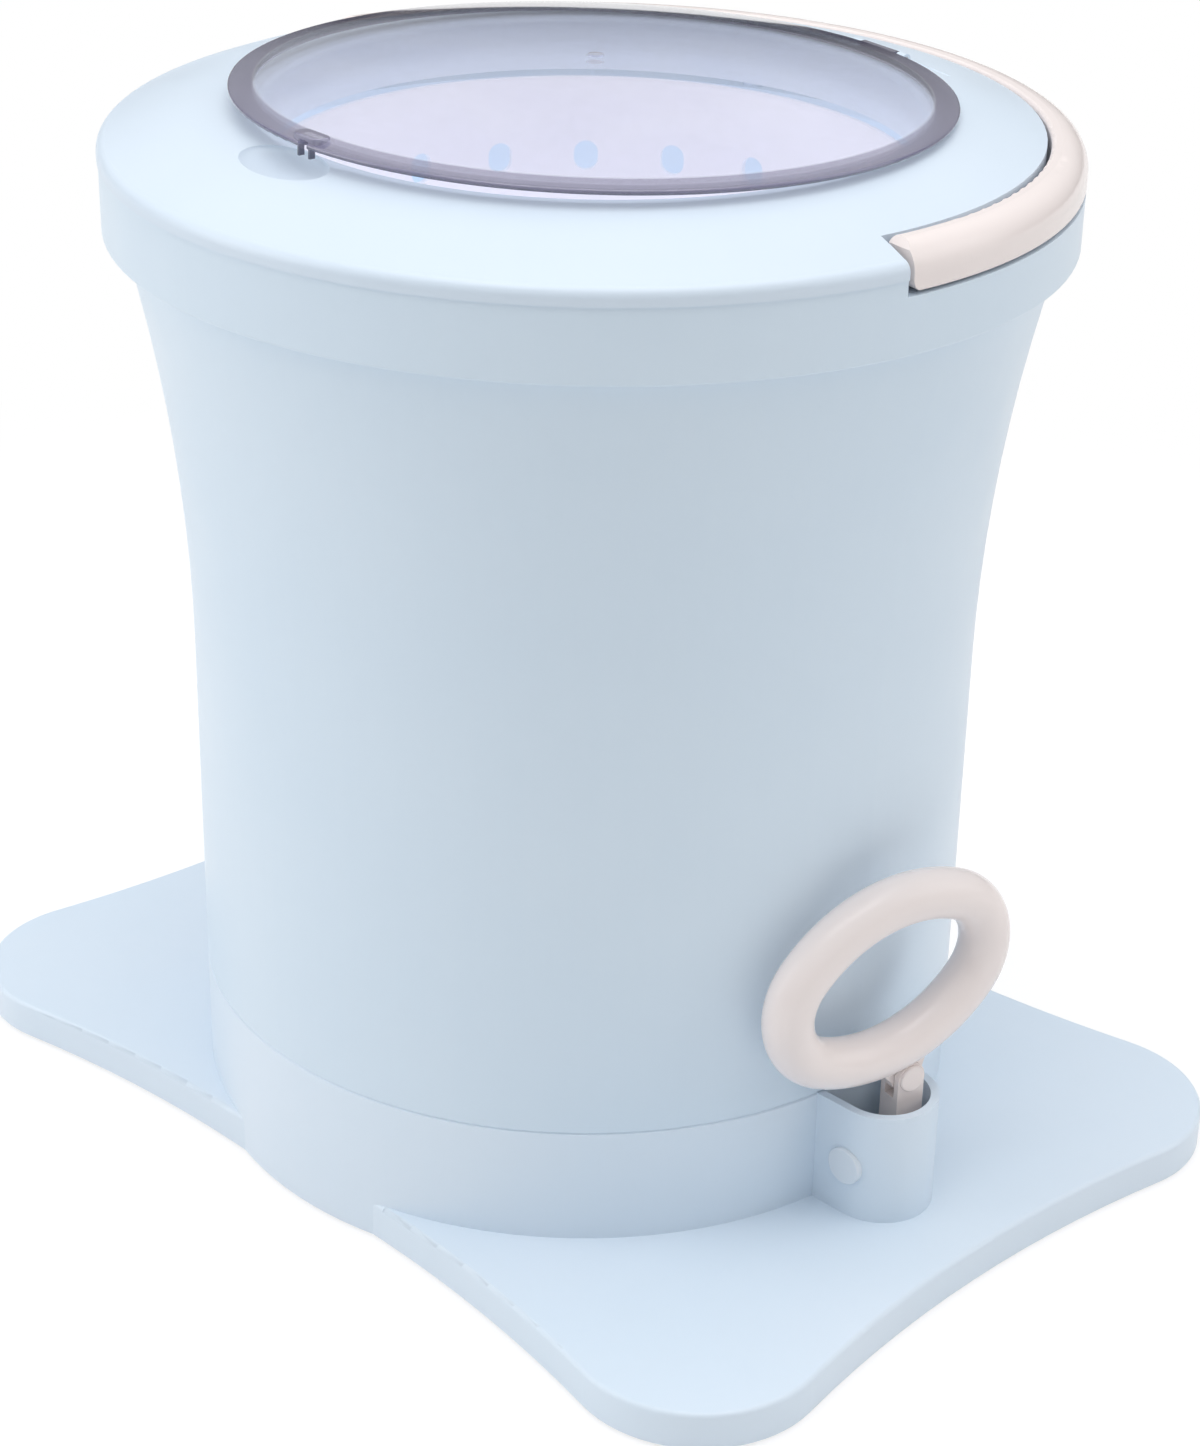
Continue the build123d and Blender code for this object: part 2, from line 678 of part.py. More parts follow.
def cover_screws():
    return [Rot(0, 0, top_turn) * around(cover_screw_radius, angle, small_screw(tub_rim_z, small_screw_length))
            for angle in cover_screw_angles()]


def pivot_line(side, radius, inner, outer):
    """A round bar on the handle's pivot axis, from inner to outer along side."""
    return Pos(handle_pivot_inset, side * (inner + outer) / 2, handle_pivot_z) * Rot(90, 0, 0) * Cylinder(
        radius, outer - inner)


def handle_pivot(side):
    """A dowel pressed into the wall behind the handle."""
    return Rot(0, 0, top_turn) * pivot_line(side, pivot_pin_radius, pivot_pin_inner, pivot_pin_outer)


def carry_handle():
    profile = Polyline((handle_inner_radius, handle_bottom_z), (handle_outer_radius, handle_bottom_z),
                       (handle_outer_radius, handle_top_z), (handle_inner_radius, handle_top_z), close=True)
    face = make_face(profile)
    corners = face.vertices()
    top_outer = corners.group_by(Axis.Y)[-1].sort_by(Axis.X)[-1]
    face = fillet(top_outer, handle_outer_round)
    rest = [v for v in face.vertices() if v.X < handle_inner_radius + 0.1 or v.Y < handle_bottom_z + 0.1]
    face = fillet(rest, handle_edge_round)
    bail = revolve(Plane.XZ * face, Axis.Z, 180)
    bail = Rot(0, 0, -90) * bail
    heel = Pos(0, 0, handle_bottom_z) * Box(2 * handle_heel_round, 4 * cover_radius, 2 * handle_heel_round)
    heel -= Pos(handle_heel_round, 0, handle_bottom_z + handle_heel_round) * Rot(90, 0, 0) * Cylinder(
        handle_heel_round, 6 * cover_radius)
    bail -= heel
    brow = Rot(0, 45, 0) * Box(sqrt(2) * handle_brow_cut, 4 * cover_radius, sqrt(2) * handle_brow_cut)
    bail -= Pos(0, 0, handle_top_z) * brow
    for side in (1, -1):
        bail -= pivot_line(side, pivot_pin_radius + running_gap, pivot_pin_inner, pivot_pin_outer + pivot_end_gap)
    return Rot(0, 0, top_turn) * bail


# ---------------------------------------------------------------- lid
def dome_solid(edge_radius, edge_z, apex_z):
    """A filled spherical cap on an upright rim, down to the lid's lower edge."""
    rise = apex_z - edge_z
    sphere = (edge_radius ** 2 + rise ** 2) / (2 * rise)
    middle = edge_radius / 2
    return spun([
        Line((0, lid_bottom_z), (edge_radius, lid_bottom_z)),
        Line((edge_radius, lid_bottom_z), (edge_radius, edge_z)),
        ThreePointArc((edge_radius, edge_z), (middle, apex_z - sphere + sqrt(sphere ** 2 - middle ** 2)), (0, apex_z)),
        Line((0, apex_z), (0, lid_bottom_z)),
    ])


def lid():
    outer = dome_solid(lid_radius, lid_edge_z, lid_apex_z)
    rim = [e for e in outer.edges().filter_by(GeomType.CIRCLE)
           if abs(e.radius - lid_radius) < 0.01]
    outer = fillet(rim, lid_edge_round)
    inner = dome_solid(lid_flange_radius, lid_flange_z, lid_apex_z - lid_wall)
    shell = outer - inner
    shell += disc(lid_nub_radius, lid_apex_z - lid_wall / 2, lid_apex_z + lid_nub_height)
    arm_top = hinge_axis_z + knuckle_radius
    arm = Pos((lid_radius - lid_wall / 2 + hinge_axis_radius) / 2, 0, (lid_bottom_z + arm_top) / 2) * Box(
        hinge_axis_radius - lid_radius + lid_wall / 2, 2 * knuckle_half, arm_top - lid_bottom_z)
    knuckle = Pos(hinge_axis_radius, 0, hinge_axis_z) * Rot(90, 0, 0) * Cylinder(knuckle_radius, 2 * knuckle_half)
    shell += arm + knuckle
    shell -= Pos(hinge_axis_radius, 0, hinge_axis_z) * Rot(90, 0, 0) * Cylinder(
        hinge_pin_radius + running_gap, 4 * knuckle_half)
    latch = Rot(0, 0, latch_turn)
    shell += latch * thumb_tab()
    opened = Pos(hinge_axis_radius, 0, hinge_axis_z) * Rot(0, lid_ajar, 0) * Pos(-hinge_axis_radius, 0, -hinge_axis_z)
    return Rot(0, 0, top_turn) * opened * (shell - latch * tab_notch() + latch * latch_prongs())


def block(radii, half_wide, heights):
    """A box on the latch side of the lid, from its two radii, half its width and its two heights."""
    inner, outer = radii
    low, high = heights
    return Pos(-(inner + outer) / 2, 0, (low + high) / 2) * Box(outer - inner, 2 * half_wide, high - low)


def thumb_tab():
    tab = block((tab_inner_radius, lid_radius - lid_edge_round), tab_half_wide, (lid_flange_z, tab_top_z))
    tab = fillet(tab.edges().filter_by(Axis.Z), tab_corner)
    return fillet(tab.faces().sort_by(Axis.Z)[-1].edges(), tab_edge_round)


def tab_notch():
    return block((notch_radius, lid_radius + lid_wall), notch_half_wide, (lid_bottom_z - lid_wall, notch_top_z))


def latch_prongs():
    """Two thin prongs beside the notch, which click into the cover's dish."""
    prongs = Part()
    outer = lid_radius - prong_inset
    for side in (1, -1):
        prong = block((outer - prong_reach, outer), prong_width / 2, (prong_bottom_z, lid_flange_z))
        prongs += Pos(0, side * (notch_half_wide + prong_width / 2), 0) * prong
    return prongs


def lid_hinge_pin():
    half = knuckle_half + hinge_side_gap + hinge_lug_width
    return Rot(0, 0, top_turn) * Pos(hinge_axis_radius, 0, hinge_axis_z) * Rot(90, 0, 0) * Cylinder(
        hinge_pin_radius, 2 * half)


# ---------------------------------------------------------------- basket
def basket():
    outer = basket_outer_radius
    inner = basket_inner_radius
    floor = basket_floor_z
    round_out = basket_bottom_round
    round_in = basket_bottom_round - basket_wall
    rim_round = basket_rim_round
    diagonal = sqrt(0.5)
    shell = spun([
        Line((0, floor), (outer - round_out, floor)),
        ThreePointArc((outer - round_out, floor),
                      (outer - round_out * (1 - diagonal), floor + round_out * (1 - diagonal)),
                      (outer, floor + round_out)),
        Line((outer, floor + round_out), (outer, basket_neck_z)),
        Line((outer, basket_neck_z), (basket_rim_mouth, basket_rim_z - basket_rim_drop)),
        Line((basket_rim_mouth, basket_rim_z - basket_rim_drop),
             (basket_rim_radius, basket_rim_z - basket_rim_drop)),
        Line((basket_rim_radius, basket_rim_z - basket_rim_drop), (basket_rim_radius, basket_rim_z - rim_round)),
        ThreePointArc((basket_rim_radius, basket_rim_z - rim_round),
                      (basket_rim_radius - rim_round * (1 - diagonal), basket_rim_z - rim_round * (1 - diagonal)),
                      (basket_rim_radius - rim_round, basket_rim_z)),
        Line((basket_rim_radius - rim_round, basket_rim_z), (basket_rim_mouth, basket_rim_z)),
        ThreePointArc((basket_rim_mouth, basket_rim_z),
                      (inner + basket_neck_bulge, (basket_rim_z + basket_neck_z) / 2), (inner, basket_neck_z)),
        Line((inner, basket_neck_z), (inner, floor + basket_floor + round_in)),
        ThreePointArc((inner, floor + basket_floor + round_in),
                      (inner - round_in * (1 - diagonal), floor + basket_floor + round_in * (1 - diagonal)),
                      (inner - round_in, floor + basket_floor)),
        Line((inner - round_in, floor + basket_floor), (0, floor + basket_floor)),
        Line((0, floor + basket_floor), (0, floor)),
    ])
    shell += disc(hub_boss_radius, basket_floor_top - 1, basket_floor_top + hub_boss_height)
    shell -= disc(shaft_radius + running_gap, 0, shaft_top_z)
    slot = SlotOverall(hole_height, hole_width, rotation=90)
    cutters = []
    for row in range(hole_rows):
        height = hole_top_z - row * hole_pitch_z
        plane = Plane((inner - basket_wall, 0, height), x_dir=(0, 1, 0), z_dir=(1, 0, 0))
        bar = extrude(plane * slot, 4 * basket_wall)
        for index in range(hole_count):
            cutters.append(Rot(0, 0, hole_turn + index * 360 / hole_count) * bar)
    for ring in floor_hole_rings:
        count = int(2 * pi * ring / floor_hole_pitch)
        for index in range(count):
            cutters.append(around(ring, index * 360 / count, disc(floor_hole_radius, 0, floor + 2 * basket_floor)))
    return shell.cut(*cutters)


def basket_cap():
    """The dome over the shaft nut."""
    seat = basket_floor_top + hub_boss_height
    post = disc(cap_radius, basket_floor_top, seat + cap_height)
    post = fillet(post.edges().group_by(Axis.Z)[-1], cap_round)
    core = disc(cap_radius - cap_wall, basket_floor_top - 1, seat + cap_height - cap_wall)
    core = fillet(core.edges().group_by(Axis.Z)[-1], cap_round - cap_wall)
    return post - core


def spin_shaft():
    shaft = disc(shaft_radius, shaft_bottom_z, shaft_top_z)
    shaft = chamfer(shaft.edges().group_by(Axis.Z)[-1], shaft_chamfer)
    groove_z = lower_bearing_z - circlip_thickness - running_gap
    return shaft - tube(shaft_radius + 1, shaft_radius - circlip_groove, groove_z, lower_bearing_z - running_gap / 2)


def hub_flange():
    collar = disc(hub_flange_radius, hub_flange_z, basket_floor_z) + disc(
        hub_sleeve_radius, hub_sleeve_z, hub_flange_z)
    return collar - disc(shaft_radius, 0, shaft_top_z)


def shaft_washer():
    low = basket_floor_top + hub_boss_height
    return tube(washer_radius, shaft_radius + running_gap, low, low + washer_thickness)


def shaft_nut():
    low = basket_floor_top + hub_boss_height + washer_thickness
    hexagon = RegularPolygon(nut_across_flats / 2, 6, major_radius=False)
    return prism(hexagon, low, low + nut_height) - disc(shaft_radius, 0, shaft_top_z)


def bearing_outer(low):
    return tube(bearing_radius, bearing_radius - race_thickness, low, low + bearing_width)


def bearing_inner(low):
    return tube(shaft_radius + race_thickness, shaft_radius, low, low + bearing_width)


def bearing_balls(low):
    outer = bearing_radius - race_thickness
    inner = shaft_radius + race_thickness
    radius = (outer - inner) / 2 - ball_gap
    return [around((outer + inner) / 2, index * 360 / ball_count, Pos(0, 0, low + bearing_width / 2) * Sphere(radius))
            for index in range(ball_count)]


def circlip(inner, outer, low):
    ring = tube(outer, inner, low, low + circlip_thickness)
    return ring - Pos(outer, 0, low) * Box(2 * circlip_radial + 2 * (outer - inner), circlip_radial, 4 * circlip_thickness)


def shaft_seal():
    low = upper_bearing_z + bearing_width + seal_gap
    body = tube(bearing_radius, bearing_radius - seal_wall, low, low + seal_height)
    web = tube(bearing_radius - seal_wall / 2, shaft_radius + fit_gap, low, low + seal_web)
    return body + web


# ---------------------------------------------------------------- cord drive
def cord_spool():
    low = spool_bottom_z
    high = spool_top_z
    body = disc(spool_hub_radius, low, high)
    body += disc(spool_flange_radius, low, low + spool_flange)
    body += disc(spool_flange_radius, high - spool_flange, high)
    body += disc(spring_hub_radius, cover_plate_top + spring_case_wall + fit_gap, low)
    body -= disc(clutch_outer_radius, high - clutch_length, high + 1)
    return body - disc(shaft_radius + fit_gap, 0, high)


def one_way_bearing():
    """The drawn cup of the roller clutch, pressed into the spool."""
    high = spool_top_z
    cup = tube(clutch_outer_radius, clutch_outer_radius - clutch_cup_wall, high - clutch_length, high)
    for low in (high - clutch_length, high - clutch_end_lip):
        cup += tube(clutch_outer_radius - clutch_cup_wall / 2, shaft_radius + fit_gap, low, low + clutch_end_lip)
    return cup


def clutch_rollers():
    gap = clutch_outer_radius - clutch_cup_wall - shaft_radius
    radius = gap / 2 - ball_gap
    high = spool_top_z - clutch_end_lip - ball_gap
    low = spool_top_z - clutch_length + clutch_end_lip + ball_gap
    return [around(shaft_radius + gap / 2, index * 360 / clutch_roller_count, disc(radius, low, high))
            for index in range(clutch_roller_count)]


def wound_cord():
    """The cord's turns on the spool: one solid of their outer shape."""
    lowest = cord_z - spool_inner_height / 2 + cord_pitch / 2
    coil = tube(cord_line_radius + cord_radius / 4, spool_hub_radius + running_gap / 2,
                lowest - cord_radius / 2, lowest + (spool_turns - 1) * cord_pitch + cord_radius / 2)
    for index in range(spool_turns):
        turn = Pos(0, 0, lowest + index * cord_pitch) * Torus(cord_line_radius + running_gap / 2, cord_radius)
        coil += turn
    return coil - disc(spool_hub_radius + running_gap / 2, 0, seam_z)


def spring_case():
    low = cover_plate_top
    cup = disc(spring_case_radius, low, case_top_z)
    for angle in case_ear_angles():
        ear = Pos(case_ear_radius - case_ear_size / 2, 0, low + spring_case_wall / 2) * Box(
            2 * case_ear_size, 2 * case_ear_size, spring_case_wall)
        cup += Rot(0, 0, angle) * ear
        cup -= around(case_ear_radius, angle, disc(small_screw_radius + screw_clearance, 0, case_top_z))
    cup -= disc(spring_case_radius - spring_case_wall, low + spring_case_wall, case_top_z + 1)
    return cup


def case_screws():
    length = cover_plate_thickness + spring_case_wall
    screws = []
    for angle in case_ear_angles():
        seat = cover_plate_top + spring_case_wall
        screw = disc(small_screw_head_radius, seat, seat + small_screw_head)
        screw += disc(small_screw_radius - 2 * running_gap, seat - length + screw_tip_gap, seat)
        screws.append(around(case_ear_radius, angle, screw))
    return screws


def spring_case_lid():
    low = case_top_z
    return tube(spring_case_radius, spring_hub_radius + fit_gap, low, low + case_lid_thickness)


def return_spring():
    """The flat spiral spring: a strip wound from the spool's spigot out to the case wall."""
    start = spring_hub_radius + fit_gap + spring_strip / 2
    end = spring_case_radius - spring_case_wall - 2 * fit_gap - spring_strip / 2
    low = cover_plate_top + spring_case_wall + fit_gap
    steps = 8
    count = spring_turns * steps
    points = []
    for index in range(count + 1):
        share = index / count
        angle = radians(index * 360 / steps)
        radius = start + (end - start) * share
        points.append((radius * cos(angle), radius * sin(angle)))
    centre = Spline(*points)
    strip = trace(centre, spring_strip)
    return prism(strip, low, low + spring_strip_height)


def cord_eyelet():
    seat = ring_inner_radius
    length = base_ring_wall
    axis = Plane((0, cord_y, cord_z), x_dir=(0, 1, 0), z_dir=(1, 0, 0))
    inner_seat = sqrt(seat ** 2 - (cord_y + eyelet_flange_radius) ** 2)
    barrel = axis * Pos(0, 0, (inner_seat + seat + length) / 2) * Cylinder(eyelet_radius, seat + length - inner_seat)
    flange = axis * Pos(0, 0, inner_seat - eyelet_flange / 2) * Cylinder(eyelet_flange_radius, eyelet_flange)
    bore = axis * Pos(0, 0, seat) * Cylinder(eyelet_bore_radius, 20 * length)
    return barrel + flange - bore


def cord_run():
    """The cord from beside its tangent on the spool, through the eyelet and round the roller."""
    bend = (ring_inner_radius - 2 * eyelet_flange, cord_y)
    angle = atan2(bend[1], bend[0]) + acos(cord_line_radius / hypot(*bend))
    tangent = (cord_line_radius * cos(angle), cord_line_radius * sin(angle))
    clear = sqrt((cord_line_radius + 2 * cord_radius + fit_gap) ** 2 - cord_line_radius ** 2)
    start = (*towards(tangent, bend, clear), cord_z)
    path = FilletPolyline(start, (*bend, cord_z), (riser_x, cord_y, cord_z), (riser_x, cord_y, roller_z + 1),
                          radius=[3 * cord_line_radius, roller_groove_radius + cord_radius])
    section = Plane(path @ 0, z_dir=path % 0) * Circle(cord_radius)
    run = sweep(section, path=path)
    length = path.length
    print("cord run: length", round(length, 1), "volume over section times length",
          round(run.volume / (pi * cord_radius ** 2 * length), 4))
    return run


def cord_riser():
    return Pos(riser_x, cord_y, 0) * disc(cord_radius, roller_z + 1, shank_bottom_z)


def guide_roller():
    outer = roller_flange_radius
    groove = roller_groove_radius
    half = roller_half_width
    body = Cylinder(outer, 2 * half) - Torus(groove + cord_radius, cord_radius + running_gap)
    waste = Cylinder(outer + 1, 2 * (cord_radius + running_gap)) - Cylinder(groove + cord_radius, 4 * half)
    body = body - waste - Cylinder(axle_radius + running_gap, 4 * half)
    return Pos(roller_x, cord_y, roller_z) * Rot(90, 0, 0) * body


def axle_piece(radius, low, high):
    """A round piece on the roller's axle line, from low to high along Y."""
    return Pos(roller_x, (low + high) / 2, roller_z) * Rot(90, 0, 0) * Cylinder(radius, high - low)


def roller_axle():
    side = channel_half_width
    head = axle_piece(axle_head_radius, -side - axle_head, 0)
    head = fillet(head.edges().group_by(Axis.Y)[0], axle_head / 2)
    head -= prism(channel_face(0), 0, seam_z)
    return head + axle_piece(axle_radius, -side - axle_head / 2, side + axle_tail)


def axle_spacers():
    radius = axle_radius + spacer_wall
    inner = sqrt((channel_half_width - channel_wall) ** 2 - (roller_x + radius - channel_nose_x) ** 2)
    roller_low = cord_y - roller_half_width - fit_gap
    roller_high = cord_y + roller_half_width + fit_gap
    spacers = []
    for low, high in ((-inner, roller_low), (roller_high, inner)):
        sleeve = axle_piece(radius, low, high) - axle_piece(axle_radius + running_gap, low - 1, high + 1)
        spacers.append(sleeve)
    return spacers


def axle_clip():
    low = channel_half_width
    return axle_piece(axle_clip_radius, low, low + axle_clip_thickness) - axle_piece(
        axle_radius, low - 1, low + axle_tail)


# ---------------------------------------------------------------- pull loop
def at_pin(piece):
    """From the loop's own frame (pin at the origin, pin axis +X) to its place."""
    return Pos(riser_x, cord_y, loop_pin_z) * Rot(0, 0, loop_twist) * piece


def pull_shank():
    """The cord end's block: two cheeks round the loop's tongue, and a socket for the cord."""
    half = shank_half_width
    low = shank_bottom_z - loop_pin_z
    slot_half = loop_tongue / 2 + loop_side_gap
    block = Pos(0, 0, low / 2) * Box(shank_thickness, 2 * half, -low)
    head = Rot(0, 90, 0) * Cylinder(half, shank_thickness)
    body = block + head
    tongue_end = loop_tongue_half + 2 * loop_side_gap
    body -= Pos(0, 0, half - tongue_end / 2) * Box(2 * slot_half, 4 * half, 2 * half + tongue_end)
    body -= Rot(0, 90, 0) * Cylinder(loop_pin_radius + running_gap / 2, 2 * shank_thickness)
    return at_pin(body)


def loop_pin():
    pin = Rot(0, 90, 0) * Cylinder(loop_pin_radius, shank_thickness)
    for side in (1, -1):
        head = Pos(side * (shank_thickness + loop_pin_head) / 2, 0, 0) * Rot(0, 90, 0) * Cylinder(
            loop_pin_head_radius, loop_pin_head)
        pin += head
    outer = [e for e in pin.edges().filter_by(GeomType.CIRCLE)
             if abs(abs(e.center().X) - shank_thickness / 2 - loop_pin_head) < 0.01]
    return at_pin(fillet(outer, loop_pin_head / 2))


def loop_centre_line():
    """An oval of four tangent arcs in the YZ plane, centred on the origin."""
    spread = loop_half_width - loop_end_radius
    slack = loop_half_height - loop_end_radius
    offset = (spread ** 2 - slack ** 2) / (2 * slack)
    flat_radius = loop_half_height + offset
    touch = towards((0, -offset), (spread, 0), flat_radius)
    y, z = touch
    top = ThreePointArc((0, -y, z), (0, 0, loop_half_height), (0, y, z))
    right = ThreePointArc((0, y, z), (0, loop_half_width, 0), (0, y, -z))
    bottom = ThreePointArc((0, y, -z), (0, 0, -loop_half_height), (0, -y, -z))
    left = ThreePointArc((0, -y, -z), (0, -loop_half_width, 0), (0, -y, z))
    return Wire([top, right, bottom, left])


def pull_loop():
    path = loop_centre_line()
    section = Plane(path @ 0, z_dir=path % 0) * Circle(loop_tube_radius)
    ring = Pos(0, 0, loop_half_height + loop_drop) * sweep(section, path=path)
    eye = Rot(0, 90, 0) * Cylinder(loop_eye_radius, loop_tongue)
    rise = loop_drop
    root_half = 2 * loop_tongue_half
    web = Polyline((0, -loop_eye_radius, 0), (0, loop_eye_radius, 0),
                   (0, root_half, rise), (0, -root_half, rise), close=True)
    tongue = extrude(make_face(web), loop_tongue / 2, both=True) + eye
    body = ring + tongue
    body -= Rot(0, 90, 0) * Cylinder(loop_pin_radius + running_gap, 2 * loop_tongue)
    relief = shank_thickness / 2 + loop_side_gap - loop_tongue / 2
    for side in (1, -1):
        middle = side * (loop_tongue + relief) / 2
        body -= Pos(middle, 0, 0) * Rot(0, 90, 0) * Cylinder(shank_half_width + loop_side_gap, relief)
    return at_pin(Rot(loop_lean, 0, 0) * body)


def main():
    os.makedirs("parts", exist_ok=True)
    save(base_housing(), "base_housing")
    save(bottom_cover(), "bottom_cover")
    save(Compound(bottom_screws()), "bottom_screws")
    foot = rubber_foot()
    for index, (x, y) in enumerate(((1, 1), (-1, 1), (-1, -1), (1, -1))):
        save(Pos(x * foot_x, y * foot_y, 0) * foot, f"rubber_foot_{index + 1}")
    save(outer_tub(), "outer_tub")
    save(Compound(tub_screws()), "tub_screws")
    save(drain_spout(), "drain_spout")
    save(collar_ring(), "collar_ring")
    save(top_cover(), "top_cover")
    save(Compound(cover_screws()), "cover_screws")
    save(handle_pivot(1), "handle_pivot_left")
    save(handle_pivot(-1), "handle_pivot_right")
    save(carry_handle(), "carry_handle")
    save(lid(), "lid")
    save(lid_hinge_pin(), "lid_hinge_pin")
    save(basket(), "basket")
    save(basket_cap(), "basket_cap")
    save(spin_shaft(), "spin_shaft")
    save(hub_flange(), "hub_flange")
    save(shaft_washer(), "shaft_washer")
    save(shaft_nut(), "shaft_nut")
    for name, low in (("upper", upper_bearing_z), ("lower", lower_bearing_z)):
        save(bearing_outer(low), f"{name}_bearing_outer_race")
        save(bearing_inner(low), f"{name}_bearing_inner_race")
        save(Compound(bearing_balls(low)), f"{name}_bearing_balls")
    clip_z = lower_bearing_z - circlip_thickness - running_gap / 2
    save(circlip(bearing_radius - circlip_radial, bearing_radius + circlip_radial / 2, clip_z), "housing_circlip")
    save(circlip(shaft_radius - circlip_groove, shaft_radius + circlip_radial, clip_z), "shaft_circlip")
    save(shaft_seal(), "shaft_seal")
    save(cord_spool(), "cord_spool")
    save(one_way_bearing(), "one_way_bearing_cup")
    save(Compound(clutch_rollers()), "one_way_bearing_rollers")
    save(wound_cord(), "wound_cord")
    save(spring_case(), "spring_case")
    save(Compound(case_screws()), "spring_case_screws")
    save(spring_case_lid(), "spring_case_lid")
    save(return_spring(), "return_spring")
    save(cord_eyelet(), "cord_eyelet")
    save(cord_run(), "cord_run")
    save(cord_riser(), "cord_riser")
    save(guide_roller(), "guide_roller")
    save(roller_axle(), "roller_axle")
    save(Compound(axle_spacers()), "axle_spacers")
    save(axle_clip(), "axle_clip")
    save(pull_shank(), "pull_shank")
    save(loop_pin(), "loop_pin")
    save(pull_loop(), "pull_loop")


main()
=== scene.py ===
import math
import bmesh
import bpy
from mathutils import Matrix, Vector


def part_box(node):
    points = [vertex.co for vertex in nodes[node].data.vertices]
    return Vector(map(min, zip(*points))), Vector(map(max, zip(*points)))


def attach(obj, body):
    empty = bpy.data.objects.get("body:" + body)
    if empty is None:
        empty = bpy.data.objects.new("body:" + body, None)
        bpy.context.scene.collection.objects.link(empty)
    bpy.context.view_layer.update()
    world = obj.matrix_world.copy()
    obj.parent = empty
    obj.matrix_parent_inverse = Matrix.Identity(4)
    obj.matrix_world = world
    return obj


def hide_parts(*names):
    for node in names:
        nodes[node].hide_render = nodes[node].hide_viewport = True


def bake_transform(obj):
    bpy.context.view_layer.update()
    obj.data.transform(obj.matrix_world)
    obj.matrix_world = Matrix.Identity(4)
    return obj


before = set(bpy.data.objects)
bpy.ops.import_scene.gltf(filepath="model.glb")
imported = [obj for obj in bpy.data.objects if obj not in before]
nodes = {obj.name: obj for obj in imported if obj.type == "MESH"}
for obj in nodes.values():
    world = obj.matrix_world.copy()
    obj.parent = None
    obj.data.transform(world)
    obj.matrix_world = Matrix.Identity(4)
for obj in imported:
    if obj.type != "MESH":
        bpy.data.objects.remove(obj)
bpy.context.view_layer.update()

MM = 0.001
NOISE_LOW, NOISE_HIGH = 0.3, 0.7            # a noise texture hardly leaves this span

# Places on the dryer, in metres: z is up and the dryer's axis is x = y = 0
TOP_TURN = math.radians(81.0)               # direction of the lid hinge from +X
HINGE_RADIUS = 0.1222
LID_AJAR = math.radians(1.12)               # how far the lid stands open at rest
LID_BAND_START, LID_BAND_FULL = 0.1098, 0.1110
LID_EDGE_LOW, LID_EDGE_HIGH = 0.3688, 0.3698
GATE_FULL, GATE_END = 0.0024, 0.0034        # radius of the mark where the lid was filled in its mould
FLARE_START, FLARE_END = 0.180, 0.3285      # heights between which the tub's wall flares

# Studio
FLOOR_HALF = 6.0
FLOOR_SHADED, FLOOR_WHITE = 0.32, 0.75      # distances at which the floor starts and ends its fade to white
WORLD_LEVEL = 0.90
WHITE = (1, 1, 1, 1)


# ---------------------------------------------------------------- helpers
def srgb(code):
    """An sRGB hex colour as linear RGBA."""
    parts = [int(code[i:i + 2], 16) / 255 for i in (0, 2, 4)]
    return tuple(c / 12.92 if c <= 0.04045 else ((c + 0.055) / 1.055) ** 2.4 for c in parts) + (1.0,)


def add(tree, kind, inputs=None, **settings):
    """Adds a node. settings are its properties, and inputs its sockets by name or number.

    An input is a value, a socket, or a node, whose first output in use is taken. A list gives several.
    """
    node = tree.nodes.new(kind)
    for name, value in settings.items():
        setattr(node, name, value)
    for name, given in (inputs or {}).items():
        socket = node.inputs[name] if isinstance(name, int) else next(
            s for s in node.inputs if s.name == name and s.enabled)
        for value in given if isinstance(given, list) else [given]:
            if isinstance(value, bpy.types.Node):
                value = next(s for s in value.outputs if s.enabled)
            if isinstance(value, bpy.types.NodeSocket):
                tree.links.new(value, socket)
            else:
                socket.default_value = value
    return node


def material(name):
    """An empty node material and its tree."""
    made = bpy.data.materials.new(name)
    made.use_nodes = True
    made.node_tree.nodes.clear()
    return made, made.node_tree


def object_point(tree, scale=(1, 1, 1)):
    """The point on the piece itself, stretched for a pattern."""
    place = add(tree, "ShaderNodeTexCoord").outputs["Object"]
    return add(tree, "ShaderNodeMapping", {"Vector": place, "Scale": scale})


def from_axis(tree):
    """Distance of the point from the dryer's upright axis."""
    flat = add(tree, "ShaderNodeVectorMath", {0: object_point(tree), 1: (1, 1, 0)}, operation="MULTIPLY")
    return add(tree, "ShaderNodeVectorMath", {0: flat}, operation="LENGTH").outputs["Value"]


def mottle(tree, point, scale, detail, rough, low=0.0, high=1.0):
    """A noise pattern's raw height, and the same spread over the range low to high."""
    raw = add(tree, "ShaderNodeTexNoise", {
        "Vector": point, "Scale": scale, "Detail": detail, "Roughness": rough})
    return raw, add(tree, "ShaderNodeMapRange", {
        "Value": raw, "From Min": NOISE_LOW, "From Max": NOISE_HIGH, "To Min": low, "To Max": high})


